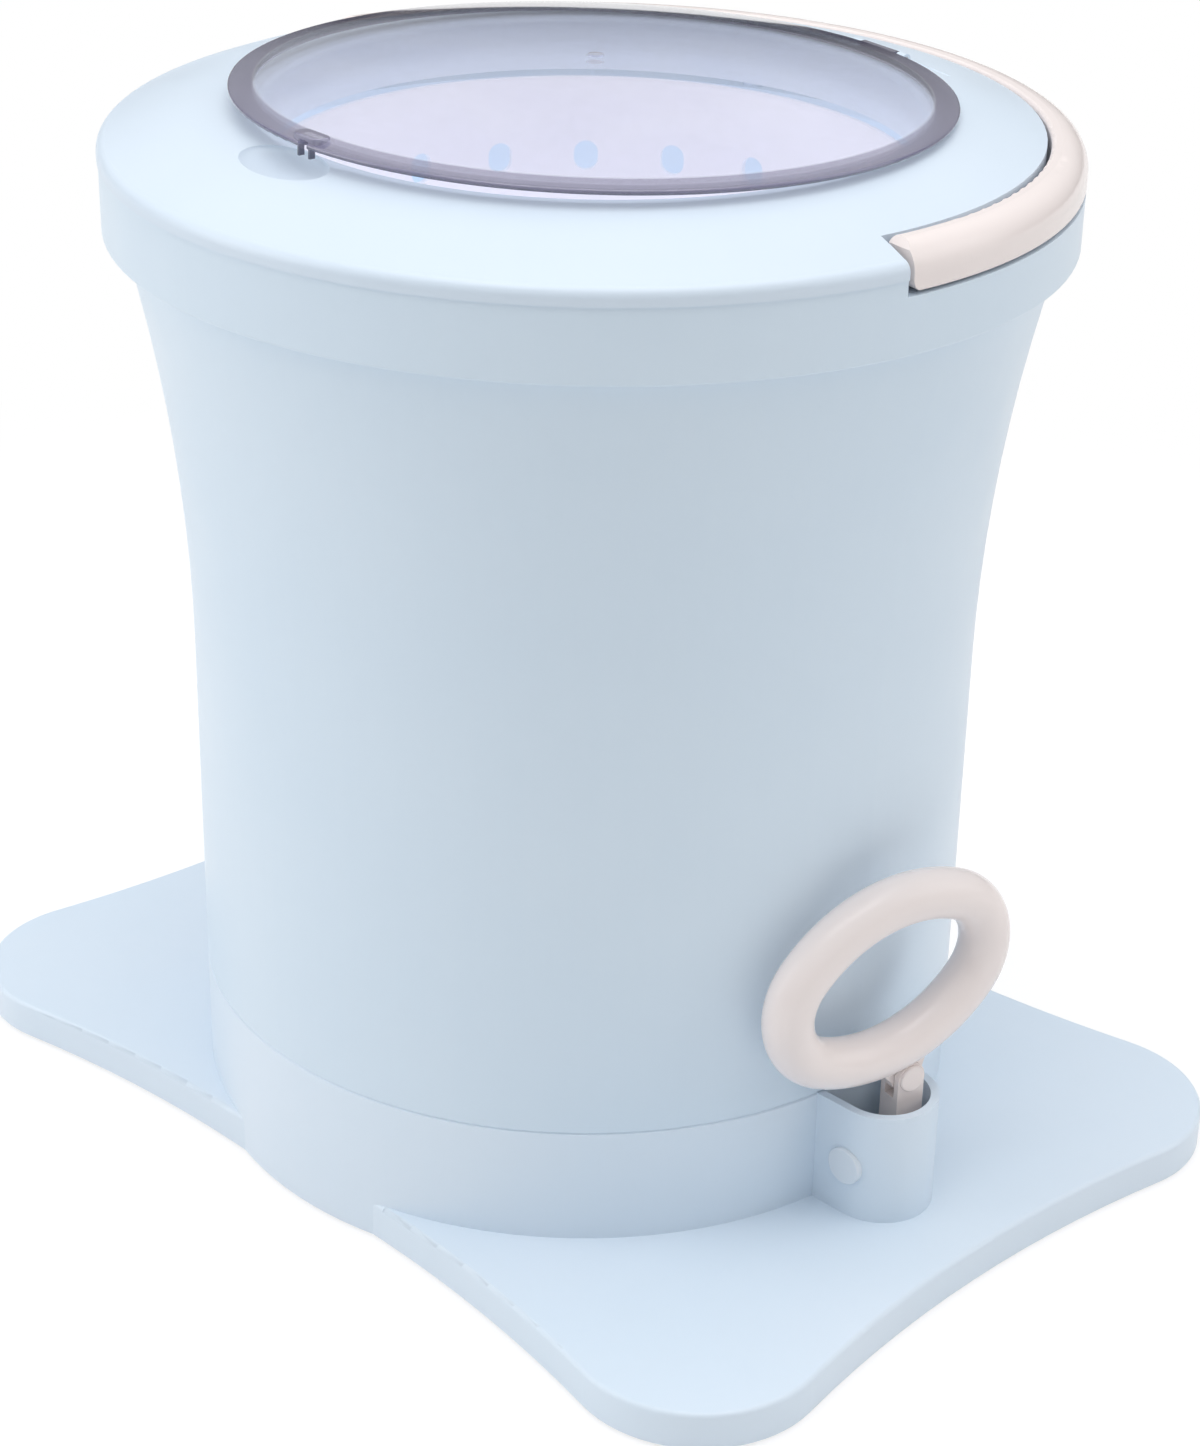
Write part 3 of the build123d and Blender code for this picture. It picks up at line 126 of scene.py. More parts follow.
# ---------------------------------------------------------------- finishes
def moulded_plastic(name, pale, deep, grain=0.25, gloss=0.36, streaks=0.0, glow=0.0, painted_inside_light=None):
    """Injection-moulded plastic: cloudy pigment, the mould's fine grain, and soft uneven gloss."""
    made, tree = material(name)
    point = object_point(tree)
    tint = mottle(tree, point, 9.0, 4.0, 0.55)[1]
    if streaks:
        drawn = object_point(tree, (1.0, 1.0, 0.03))
        line = mottle(tree, drawn, 260.0, 2.0, 0.5, -streaks, streaks)[1]
        tint = add(tree, "ShaderNodeMath", {0: tint, 1: line}, operation="ADD", use_clamp=True)
    colour = add(tree, "ShaderNodeMix", {"Factor": tint, "A": srgb(pale), "B": srgb(deep)}, data_type="RGBA")
    polish = mottle(tree, point, 24.0, 3.0, 0.5, gloss - 0.05, gloss + 0.05)[1]
    fine = mottle(tree, point, 1500.0, 2.0, 0.6)[0]
    wave = mottle(tree, point, 60.0, 2.0, 0.5)[0]
    low = add(tree, "ShaderNodeBump", {"Height": wave, "Strength": 0.06, "Distance": 0.0006})
    high = add(tree, "ShaderNodeBump", {"Height": fine, "Strength": grain, "Distance": 0.00006, "Normal": low})
    inputs = {"Base Color": colour, "Roughness": polish, "IOR": 1.47, "Normal": high}
    if glow:
        inputs.update({
            "Subsurface Weight": glow, "Subsurface Radius": (1.0, 1.0, 1.0), "Subsurface Scale": 0.003})
    # Painted light: an emission glow on the inner side of the wall
    if painted_inside_light:
        inputs.update({
            "Emission Color": colour, "Emission Strength": painted_inner_glow(tree, point, *painted_inside_light)})
    shader = add(tree, "ShaderNodeBsdfPrincipled", inputs)
    add(tree, "ShaderNodeOutputMaterial", {"Surface": shader})
    return made


def painted_inner_glow(tree, point, edge, flare, top, strength):
    """Painted light: an emission that brightens the inner side of a wall, standing in for light that reaches
    inside.

    It has that strength nearer to the axis than edge, which grows by flare, and lower than top.
    """
    height = add(tree, "ShaderNodeSeparateXYZ", {0: point}).outputs[2]
    risen = add(tree, "ShaderNodeMapRange", {"Value": height, "From Min": FLARE_START, "From Max": FLARE_END})
    widened = add(tree, "ShaderNodeMath", {0: risen, 1: 2.0}, operation="POWER")
    shifted = add(tree, "ShaderNodeMath", {0: widened, 1: flare}, operation="MULTIPLY")
    radius = add(tree, "ShaderNodeMath", {0: from_axis(tree), 1: shifted}, operation="SUBTRACT")
    inner = add(tree, "ShaderNodeMapRange", {
        "Value": radius, "From Min": edge, "From Max": edge - 0.0004, "To Min": 0.0, "To Max": strength})
    under = add(tree, "ShaderNodeMapRange", {"Value": height, "From Min": top, "From Max": top - 0.006})
    return add(tree, "ShaderNodeMath", {0: inner, 1: under}, operation="MULTIPLY")


def clear_lid_plastic():
    """Clear styrene with a light haze; painted shade darkens its thick edge band violet-grey, darkest along the
    lowest edge.
    """
    made, tree = material("clear_lid_plastic")
    point = object_point(tree)
    radius = from_axis(tree)
    band = add(tree, "ShaderNodeMapRange", {
        "Value": radius, "From Min": LID_BAND_START, "From Max": LID_BAND_FULL})
    gate = add(tree, "ShaderNodeMapRange", {
        "Value": radius, "From Min": GATE_END, "From Max": GATE_FULL, "To Max": 0.55})
    # The lid stands ajar at rest, so the height on the shut lid is what is left without its tilt
    towards_hinge = (math.cos(TOP_TURN), math.sin(TOP_TURN), 0)
    across = add(tree, "ShaderNodeVectorMath", {0: point, 1: towards_hinge}, operation="DOT_PRODUCT")
    raised = add(tree, "ShaderNodeMapRange", {
        "Value": across.outputs["Value"], "From Min": -HINGE_RADIUS, "From Max": HINGE_RADIUS,
        "To Min": 2 * HINGE_RADIUS * LID_AJAR, "To Max": 0.0})
    height = add(tree, "ShaderNodeSeparateXYZ", {0: point}).outputs[2]
    shut_height = add(tree, "ShaderNodeMath", {0: height, 1: raised}, operation="SUBTRACT")
    # Painted shade: a dark line along the lowest edge of the rim, where the lid's contact shadow falls
    edge = add(tree, "ShaderNodeMapRange", {
        "Value": shut_height, "From Min": LID_EDGE_LOW, "From Max": LID_EDGE_HIGH})
    cloud = mottle(tree, point, 40.0, 3.0, 0.6)[1]
    scuff = mottle(tree, object_point(tree, (1.0, 1.0, 0.2)), 420.0, 3.0, 0.6)[0]
    bump = add(tree, "ShaderNodeBump", {"Height": scuff, "Strength": 0.05, "Distance": 0.0001})
    # Painted shade: the thick edge band is coloured violet-grey and made less clear, standing in for the light it
    # bends and reflects inside
    band_painted_shade = add(tree, "ShaderNodeMix", {"Factor": cloud, "A": srgb("827f9a"), "B": srgb("7a7894")},
                data_type="RGBA")
    band_painted_shade = add(tree, "ShaderNodeMix", {"Factor": edge, "A": srgb("3a3953"), "B": band_painted_shade}, data_type="RGBA")
    milky = add(tree, "ShaderNodeMapRange", {"Value": cloud, "To Min": 0.10, "To Max": 0.16})
    amount = add(tree, "ShaderNodeMapRange", {"Value": band, "To Min": milky, "To Max": 0.72})
    amount = add(tree, "ShaderNodeMath", {0: amount, 1: gate}, operation="MAXIMUM")
    band_shade_and_gate = add(tree, "ShaderNodeMath", {0: band, 1: gate}, operation="MAXIMUM")
    colour = add(tree, "ShaderNodeMix", {"Factor": band_shade_and_gate, "A": srgb("eef1f8"), "B": band_painted_shade}, data_type="RGBA")
    haze = add(tree, "ShaderNodeBsdfPrincipled", {
        "Base Color": colour, "Roughness": 0.12, "IOR": 1.49, "Normal": bump})
    passing = add(tree, "ShaderNodeBsdfTransparent", {"Color": srgb("f7f7fb")})
    body = add(tree, "ShaderNodeMixShader", {0: amount, 1: passing, 2: haze})
    # Only the faces turned outwards mirror, or the thin lid would shine twice
    gleam = add(tree, "ShaderNodeBsdfGlossy", {"Color": WHITE, "Roughness": 0.04, "Normal": bump})
    turned_in = add(tree, "ShaderNodeNewGeometry").outputs["Backfacing"]
    outside = add(tree, "ShaderNodeMath", {0: 1.0, 1: turned_in}, operation="SUBTRACT")
    grazing = add(tree, "ShaderNodeFresnel", {"IOR": 1.49, "Normal": bump})
    mirror = add(tree, "ShaderNodeMath", {0: grazing, 1: outside}, operation="MULTIPLY")
    lid = add(tree, "ShaderNodeMixShader", {0: mirror, 1: body, 2: gleam})
    # The lid hardly shades what is under it
    clear = add(tree, "ShaderNodeBsdfTransparent", {"Color": srgb("fbfbfd")})
    shadow = add(tree, "ShaderNodeLightPath").outputs["Is Shadow Ray"]
    cast = add(tree, "ShaderNodeMixShader", {0: shadow, 1: lid, 2: clear})
    add(tree, "ShaderNodeOutputMaterial", {"Surface": cast})
    return made


def bare_metal(name, pale, deep, rough, brushed=(1, 1, 1)):
    """Bare metal: fine turning lines and a slightly uneven shine."""
    made, tree = material(name)
    lines, tint = mottle(tree, object_point(tree, brushed), 700.0, 3.0, 0.6)
    shine = add(tree, "ShaderNodeMapRange", {"Value": tint, "To Min": rough - 0.06, "To Max": rough + 0.06})
    colour = add(tree, "ShaderNodeMix", {"Factor": tint, "A": srgb(pale), "B": srgb(deep)}, data_type="RGBA")
    bump = add(tree, "ShaderNodeBump", {"Height": lines, "Strength": 0.15, "Distance": 0.00005})
    shader = add(tree, "ShaderNodeBsdfPrincipled", {
        "Base Color": colour, "Metallic": 1.0, "Roughness": shine, "Normal": bump})
    add(tree, "ShaderNodeOutputMaterial", {"Surface": shader})
    return made


def foot_rubber():
    """Grey foot rubber: dull, faintly mottled, with a fine pebble that scatters the light."""
    made, tree = material("foot_rubber")
    pebble, tint = mottle(tree, object_point(tree), 300.0, 4.0, 0.6)
    colour = add(tree, "ShaderNodeMix", {"Factor": tint, "A": srgb("8d9299"), "B": srgb("7b8088")},
                 data_type="RGBA")
    bump = add(tree, "ShaderNodeBump", {"Height": pebble, "Strength": 0.3, "Distance": 0.0002})
    shader = add(tree, "ShaderNodeBsdfPrincipled", {"Base Color": colour, "Roughness": 0.78, "Normal": bump})
    add(tree, "ShaderNodeOutputMaterial", {"Surface": shader})
    return made


def cord_weave():
    """Braided polyester cord: crossing strands that read as a fine herringbone along its length."""
    made, tree = material("cord_weave")
    place = add(tree, "ShaderNodeUVMap")
    scaled = add(tree, "ShaderNodeMapping", {"Vector": place, "Scale": (6.0, 420.0, 1.0)})
    round_cord, along_cord = add(tree, "ShaderNodeSeparateXYZ", {0: scaled}).outputs[:2]
    rise = add(tree, "ShaderNodeMath", {0: round_cord, 1: along_cord}, operation="ADD")
    fall = add(tree, "ShaderNodeMath", {0: along_cord, 1: round_cord}, operation="SUBTRACT")
    first = add(tree, "ShaderNodeMath", {0: rise, 1: 1.0}, operation="PINGPONG")
    second = add(tree, "ShaderNodeMath", {0: fall, 1: 1.0}, operation="PINGPONG")
    weave = add(tree, "ShaderNodeMath", {0: first, 1: second}, operation="MAXIMUM")
    colour = add(tree, "ShaderNodeMix", {"Factor": weave, "A": srgb("c9cbd2"), "B": srgb("eceae6")},
                 data_type="RGBA")
    bump = add(tree, "ShaderNodeBump", {"Height": weave, "Strength": 0.5, "Distance": 0.0002})
    shader = add(tree, "ShaderNodeBsdfPrincipled", {
        "Base Color": colour, "Roughness": 0.7, "Sheen Weight": 0.2, "Normal": bump})
    add(tree, "ShaderNodeOutputMaterial", {"Surface": shader})
    return made


# Painted light on the inner walls, given as: radius of the inner wall, what its flare adds, height of its top,
# strength
finishes = {
    "base_plastic": moulded_plastic("base_plastic", "e0ecf8", "dceaf7", streaks=0.06),
    "tub_plastic": moulded_plastic(
        "tub_plastic", "d9e8f5", "d6e6f4", streaks=0.1, painted_inside_light=(0.1349, 0.0181, 0.345, 0.32)),
    "cover_plastic": moulded_plastic(
        "cover_plastic", "dae7f4", "d7e5f3", painted_inside_light=(0.140, 0.0, 0.360, 0.14)),
    "lid_clear": clear_lid_plastic(),
    "cream_plastic": moulded_plastic("cream_plastic", "f3eae8", "f0e6e4", gloss=0.2, grain=0.1),
    "basket_plastic": moulded_plastic(
        "basket_plastic", "efeef4", "ebeaf1", glow=0.1, painted_inside_light=(0.1092, 0.0, 0.352, 0.2)),
    "inner_plastic": moulded_plastic("inner_plastic", "c9d6e3", "c1cfdd"),
    "nylon": moulded_plastic("nylon", "ecebe2", "e3e2d8", glow=0.1),
    "steel": bare_metal("steel", "c9cbce", "b2b5b9", 0.28),
    "spring_steel": bare_metal("spring_steel", "8e9196", "777a80", 0.34, (1, 1, 0.2)),
    "screw_steel": bare_metal("screw_steel", "cfd1d4", "b9bcc0", 0.3),
    "rubber": foot_rubber(),
    "cord_fibre": cord_weave(),
}
for node in nodes.values():
    slot = node.material_slots[0].material.name.split(".")[0]
    node.material_slots[0].material = finishes[slot]
nodes["roller_axle"].material_slots[0].material = moulded_plastic(
    "axle_cap_plastic", "e6eef6", "e2ebf4", gloss=0.28)


# ---------------------------------------------------------------- pull cord
def pull_cord():
    """The cord from the guide roller up to the shank, its weave spaced closer in the middle than at its ends."""
    low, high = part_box("cord_riser")
    middle = (low + high) / 2
    radius = (high.y - low.y) / 2
    rings, sides, reach = 160, 12, 0.45
    turns = [2 * math.pi * i / sides for i in range(sides)]
    mesh = bmesh.new()
    weave = mesh.loops.layers.uv.new("weave")
    rows = []
    for ring in range(rings + 1):
        height = low.z + (high.z - low.z) * (ring / rings)
        rows.append([mesh.verts.new((
            middle.x + radius * math.cos(turn), middle.y + radius * math.sin(turn), height)) for turn in turns])
    for ring in range(rings):
        shares = (ring / rings, (ring + 1) / rings)
        lower, upper = (share * share * (3 - 2 * share) * reach for share in shares)
        for i in range(sides):
            j = (i + 1) % sides
            face = mesh.faces.new((rows[ring][i], rows[ring][j], rows[ring + 1][j], rows[ring + 1][i]))
            face.smooth = True
            for loop, place in zip(face.loops, ((i, lower), (i + 1, lower), (i + 1, upper), (i, upper))):
                loop[weave].uv = (place[0] / sides, place[1])
    mesh.faces.new(list(reversed(rows[0])))
    mesh.faces.new(rows[-1])
    data = bpy.data.meshes.new("pull_cord")
    mesh.to_mesh(data)
    mesh.free()
    data.materials.append(finishes["cord_fibre"])
    cord = bpy.data.objects.new("pull_cord", data)
    bpy.context.scene.collection.objects.link(cord)
    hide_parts("cord_riser")
    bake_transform(cord)


pull_cord()


# ---------------------------------------------------------------- pieces that follow a rule
def rule(name, numbers, takes_mesh=False):
    """A Geometry Nodes tree with named number inputs, and its group input node."""
    tree = bpy.data.node_groups.new(name, "GeometryNodeTree")
    tree.is_modifier = True
    if takes_mesh:
        tree.interface.new_socket("Geometry", in_out="INPUT", socket_type="NodeSocketGeometry")
    for label in numbers:
        tree.interface.new_socket(label, in_out="INPUT", socket_type="NodeSocketFloat")
    tree.interface.new_socket("Geometry", in_out="OUTPUT", socket_type="NodeSocketGeometry")
    return tree, tree.nodes.new("NodeGroupInput")


def end_rule(tree, geometry, finish):
    """Makes the instances real, gives the finish and hands the mesh out."""
    whole = add(tree, "GeometryNodeRealizeInstances", {0: geometry})
    dressed = add(tree, "GeometryNodeSetMaterial", {"Geometry": whole, "Material": finish})
    add(tree, "NodeGroupOutput", {0: dressed})


def grown(name, tree, numbers, replaced, body, points=()):
    """Grows a piece from its rule and puts it in the place of a CAD node."""
    seed = bpy.data.meshes.new(name + "_seed")
    seed.from_pydata(points, [], [])
    maker = bpy.data.objects.new(name + "_seed", seed)
    bpy.context.scene.collection.objects.link(maker)
    modifier = maker.modifiers.new("rule", "NODES")
    modifier.node_group = tree
    for item in tree.interface.items_tree:
        if item.item_type == "SOCKET" and item.in_out == "INPUT" and item.name in numbers:
            modifier[item.identifier] = float(numbers[item.name])
    bpy.context.view_layer.update()
    evaluated = maker.evaluated_get(bpy.context.evaluated_depsgraph_get())
    data = bpy.data.meshes.new_from_object(evaluated)
    data.name = name
    bpy.data.objects.remove(maker)
    data.shade_smooth()
    data.set_sharp_from_angle(angle=math.radians(35))
    piece = bpy.data.objects.new(name, data)
    bpy.context.scene.collection.objects.link(piece)
    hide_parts(replaced)
    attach(piece, body)


def loop_rule(finish):
    """A tube swept round an oval of four tangent arcs, with the flat tongue that holds its pin."""
    tree, given = rule("loop_rule", (
        "Tube radius", "End radius", "End centre", "Flat radius", "Flat centre", "Tongue thickness",
        "Tongue half", "Eye radius", "Drop", "Hole radius", "Cheek radius", "Cheek reach",
        "Pin X", "Pin Y", "Pin Z", "Twist", "Lean"))
    g = {socket.name: socket for socket in given.outputs}

    # Each point of a round circle moves to the oval: to a flat arc above and below, to an end arc between
    circle = add(tree, "GeometryNodeCurvePrimitiveCircle", {"Resolution": 288, "Radius": 1.0})
    across, along = add(tree, "ShaderNodeSeparateXYZ", {0: add(tree, "GeometryNodeInputPosition")}).outputs[:2]
    gap = add(tree, "ShaderNodeMath", {0: g["Flat radius"], 1: g["End radius"]}, operation="SUBTRACT")
    split = add(tree, "ShaderNodeMath", {0: g["Flat centre"], 1: gap}, operation="DIVIDE")
    steep = add(tree, "ShaderNodeMath", {0: along}, operation="ABSOLUTE")
    flat = add(tree, "ShaderNodeMath", {0: steep, 1: split}, operation="GREATER_THAN")
    bent = add(tree, "ShaderNodeMath", {0: 1.0, 1: flat}, operation="SUBTRACT")
    flat_part = add(tree, "ShaderNodeMath", {0: flat, 1: g["Flat radius"]}, operation="MULTIPLY")
    bent_part = add(tree, "ShaderNodeMath", {0: bent, 1: g["End radius"]}, operation="MULTIPLY")
    radius = add(tree, "ShaderNodeMath", {0: flat_part, 1: bent_part}, operation="ADD")
    side_sign = add(tree, "ShaderNodeMath", {0: across}, operation="SIGN")
    side = add(tree, "ShaderNodeMath", {0: bent, 1: side_sign}, operation="MULTIPLY")
    side = add(tree, "ShaderNodeMath", {0: side, 1: g["End centre"]}, operation="MULTIPLY")
    fall_sign = add(tree, "ShaderNodeMath", {0: along}, operation="SIGN")
    fall = add(tree, "ShaderNodeMath", {0: flat, 1: fall_sign}, operation="MULTIPLY")
    fall = add(tree, "ShaderNodeMath", {0: fall, 1: g["Flat centre"]}, operation="MULTIPLY")
    half_height = add(tree, "ShaderNodeMath", {0: g["Flat radius"], 1: g["Flat centre"]}, operation="SUBTRACT")
    middle_height = add(tree, "ShaderNodeMath", {0: half_height, 1: g["Drop"]}, operation="ADD")
    upwards = add(tree, "ShaderNodeMath", {0: radius, 1: along}, operation="MULTIPLY")
    upwards = add(tree, "ShaderNodeMath", {0: upwards, 1: fall}, operation="SUBTRACT")
    height = add(tree, "ShaderNodeMath", {0: upwards, 1: middle_height}, operation="ADD")
    outwards = add(tree, "ShaderNodeMath", {0: radius, 1: across}, operation="MULTIPLY")
    outwards = add(tree, "ShaderNodeMath", {0: outwards, 1: side}, operation="ADD")
    place = add(tree, "ShaderNodeCombineXYZ", {0: 0.0, 1: outwards, 2: height})
    path = add(tree, "GeometryNodeSetPosition", {"Geometry": circle, "Position": place})
    section = add(tree, "GeometryNodeCurvePrimitiveCircle", {"Resolution": 72, "Radius": g["Tube radius"]})
    tube = add(tree, "GeometryNodeCurveToMesh", {"Curve": path, "Profile Curve": section})

    # The tongue: a round eye at the pin, and a web that widens from the eye up to the tube
    lying = (0.0, math.pi / 2, 0.0)
    eye = add(tree, "GeometryNodeMeshCylinder", {
        "Vertices": 96, "Radius": g["Eye radius"], "Depth": g["Tongue thickness"]})
    eye = add(tree, "GeometryNodeTransform", {"Geometry": eye, "Rotation": lying})
    size = add(tree, "ShaderNodeCombineXYZ", {0: g["Tongue thickness"], 1: 2.0, 2: g["Drop"]})
    half_drop = add(tree, "ShaderNodeMath", {0: g["Drop"], 1: 0.5}, operation="MULTIPLY")
    lift = add(tree, "ShaderNodeCombineXYZ", {2: half_drop})
    block = add(tree, "GeometryNodeMeshCube", {"Size": size})
    block = add(tree, "GeometryNodeTransform", {"Geometry": block, "Translation": lift})
    at = add(tree, "ShaderNodeSeparateXYZ", {0: add(tree, "GeometryNodeInputPosition")}).outputs
    share = add(tree, "ShaderNodeMath", {0: at[2], 1: g["Drop"]}, operation="DIVIDE")
    wider = add(tree, "ShaderNodeMath", {0: g["Tongue half"], 1: g["Eye radius"]}, operation="SUBTRACT")
    wider = add(tree, "ShaderNodeMath", {0: share, 1: wider}, operation="MULTIPLY")
    half = add(tree, "ShaderNodeMath", {0: g["Eye radius"], 1: wider}, operation="ADD")
    sideways = add(tree, "ShaderNodeMath", {0: at[1], 1: half}, operation="MULTIPLY")
    tapered = add(tree, "ShaderNodeCombineXYZ", {0: at[0], 1: sideways, 2: at[2]})
    web = add(tree, "GeometryNodeSetPosition", {"Geometry": block, "Position": tapered})
    solid = add(tree, "GeometryNodeMeshBoolean", {1: [tube, eye, web]}, operation="UNION", solver="EXACT")

    # Cut away: the pin's hole, and on both sides of the tongue the room for the shank's cheeks
    hole = add(tree, "GeometryNodeMeshCylinder", {"Vertices": 96, "Radius": g["Hole radius"], "Depth": 0.04})
    cuts = [add(tree, "GeometryNodeTransform", {"Geometry": hole, "Rotation": lying})]
    half_thick = add(tree, "ShaderNodeMath", {0: g["Tongue thickness"], 1: 0.5}, operation="MULTIPLY")
    reach = add(tree, "ShaderNodeMath", {0: g["Cheek reach"], 1: half_thick}, operation="SUBTRACT")
    half_reach = add(tree, "ShaderNodeMath", {0: reach, 1: 0.5}, operation="MULTIPLY")
    middle = add(tree, "ShaderNodeMath", {0: g["Cheek reach"], 1: half_reach}, operation="SUBTRACT")
    for sign in (1.0, -1.0):
        shift = add(tree, "ShaderNodeMath", {0: middle, 1: sign}, operation="MULTIPLY")
        cheek = add(tree, "GeometryNodeMeshCylinder", {
            "Vertices": 96, "Radius": g["Cheek radius"], "Depth": reach})
        cuts.append(add(tree, "GeometryNodeTransform", {
            "Geometry": cheek, "Translation": add(tree, "ShaderNodeCombineXYZ", {0: shift}), "Rotation": lying}))
    solid = add(tree, "GeometryNodeMeshBoolean", {0: solid, 1: cuts}, operation="DIFFERENCE", solver="EXACT")

    # Leaned back, turned about the upright and set on its pin
    lean = add(tree, "ShaderNodeCombineXYZ", {0: g["Lean"]})
    leaning = add(tree, "GeometryNodeTransform", {"Geometry": solid, "Rotation": lean})
    pin = add(tree, "ShaderNodeCombineXYZ", {0: g["Pin X"], 1: g["Pin Y"], 2: g["Pin Z"]})
    twist = add(tree, "ShaderNodeCombineXYZ", {2: g["Twist"]})
    end_rule(tree, add(tree, "GeometryNodeTransform", {
        "Geometry": leaning, "Translation": pin, "Rotation": twist}), finish)
    return tree


def screw_rule(finish):
    """A pan-head screw with a cross recess on every given point, its head downwards."""
    tree, given = rule("screw_rule", ("Head radius", "Head height", "Shank radius", "Shank length"), True)
    g = {socket.name: socket for socket in given.outputs}

    # The head narrows at its lowest ring
    low = add(tree, "ShaderNodeMath", {0: g["Head height"], 1: -0.5}, operation="MULTIPLY")
    head = add(tree, "GeometryNodeMeshCylinder", {
        "Vertices": 48, "Radius": g["Head radius"], "Depth": g["Head height"]})
    head = add(tree, "GeometryNodeTransform", {
        "Geometry": head, "Translation": add(tree, "ShaderNodeCombineXYZ", {2: low})})
    at = add(tree, "ShaderNodeSeparateXYZ", {0: add(tree, "GeometryNodeInputPosition")}).outputs
    limit = add(tree, "ShaderNodeMath", {0: g["Head height"], 1: -0.9}, operation="MULTIPLY")
    lowest = add(tree, "ShaderNodeMath", {0: at[2], 1: limit}, operation="LESS_THAN")
    taken = add(tree, "ShaderNodeMath", {0: lowest, 1: 0.16}, operation="MULTIPLY")
    narrow = add(tree, "ShaderNodeMath", {0: 1.0, 1: taken}, operation="SUBTRACT")
    pan = add(tree, "ShaderNodeCombineXYZ", {
        0: add(tree, "ShaderNodeMath", {0: at[0], 1: narrow}, operation="MULTIPLY"),
        1: add(tree, "ShaderNodeMath", {0: at[1], 1: narrow}, operation="MULTIPLY"), 2: at[2]})
    head = add(tree, "GeometryNodeSetPosition", {"Geometry": head, "Position": pan})

    # The shank reaches a little way into the head
    half_length = add(tree, "ShaderNodeMath", {0: g["Shank length"], 1: 0.5}, operation="MULTIPLY")
    middle = add(tree, "ShaderNodeMath", {0: half_length, 1: 0.0002}, operation="SUBTRACT")
    length = add(tree, "ShaderNodeMath", {0: g["Shank length"], 1: 0.0001}, operation="SUBTRACT")
    shank = add(tree, "GeometryNodeMeshCylinder", {
        "Vertices": 32, "Radius": g["Shank radius"], "Depth": length})
    shank = add(tree, "GeometryNodeTransform", {
        "Geometry": shank, "Translation": add(tree, "ShaderNodeCombineXYZ", {2: middle})})

    # Cross recess
    under = add(tree, "ShaderNodeMath", {0: g["Head height"], 1: -1.0}, operation="MULTIPLY")
    under = add(tree, "ShaderNodeCombineXYZ", {2: under})
    bars = []
    for size in ((0.0030, 0.0006, 0.0016), (0.0006, 0.0030, 0.0016)):
        bar = add(tree, "GeometryNodeMeshCube", {"Size": size})
        bars.append(add(tree, "GeometryNodeTransform", {"Geometry": bar, "Translation": under}))
    whole = add(tree, "GeometryNodeMeshBoolean", {1: [head, shank]}, operation="UNION", solver="EXACT")
    screw = add(tree, "GeometryNodeMeshBoolean", {0: whole, 1: bars}, operation="DIFFERENCE", solver="EXACT")
    spin = add(tree, "FunctionNodeRandomValue", {"Seed": 7}, data_type="FLOAT_VECTOR")
    spin.inputs["Min"].default_value = (0, 0, 0)
    spin.inputs["Max"].default_value = (0, 0, math.pi)
    end_rule(tree, add(tree, "GeometryNodeInstanceOnPoints", {
        "Points": given.outputs[0], "Instance": screw, "Rotation": spin.outputs[0]}), finish)
    return tree


def pull_loop():
    """The pull loop, on its pin in the shank."""
    half_wide, half_high, end_radius = 40.6, 28.0, 22.0      # of the oval that the tube's middle follows
    end_centre, slack = half_wide - end_radius, half_high - end_radius
    flat_centre = (end_centre ** 2 - slack ** 2) / (2 * slack)
    numbers = {
        "Tube radius": 8.7 * MM, "End radius": end_radius * MM, "End centre": end_centre * MM,
        "Flat radius": (half_high + flat_centre) * MM, "Flat centre": flat_centre * MM,
        "Tongue thickness": 4.2 * MM, "Tongue half": 14.0 * MM, "Eye radius": 6.5 * MM, "Drop": 12.8 * MM,
        "Hole radius": 2.46 * MM, "Cheek radius": 5.75 * MM, "Cheek reach": 5.05 * MM,
        "Pin X": 154.5 * MM, "Pin Y": 2.5 * MM, "Pin Z": 65.2 * MM,
        "Twist": math.radians(-12.6), "Lean": math.radians(13.4)}
    grown("pull_loop_swept", loop_rule(finishes["cream_plastic"]), numbers,
          "pull_loop", "pull_loop")


def screws():
    """The screws of the bottom cover, driven from below, and those that hold the tub."""
    tree = screw_rule(finishes["screw_steel"])
    head = {"Head radius": 2.78 * MM, "Head height": 1.58 * MM, "Shank radius": 1.37 * MM}
    quarters = [math.pi / 2 * i for i in range(4)]
    bottom_z, ring_radius, lug_z, lug_radius = 3.6, 126.0, 42.0, 119.0
    corners = [(x * sx, y * sy) for x, y in ((183.0, 58.0), (118.0, 117.0)) for sx in (1, -1) for sy in (1, -1)]
    ring = [(ring_radius * math.cos(math.pi / 4 + turn), ring_radius * math.sin(math.pi / 4 + turn))
            for turn in quarters]
    lugs = [(lug_radius * math.cos(math.pi / 8 + turn), lug_radius * math.sin(math.pi / 8 + turn))
            for turn in quarters]
    grown("bottom_screws_made", tree, dict(head, **{"Shank length": 7.0 * MM}), "bottom_screws",
          "housing", [(x * MM, y * MM, bottom_z * MM) for x, y in corners + ring])
    grown("tub_screws_made", tree, dict(head, **{"Shank length": 9.0 * MM}), "tub_screws",
          "housing", [(x * MM, y * MM, lug_z * MM) for x, y in lugs])


pull_loop()
screws()


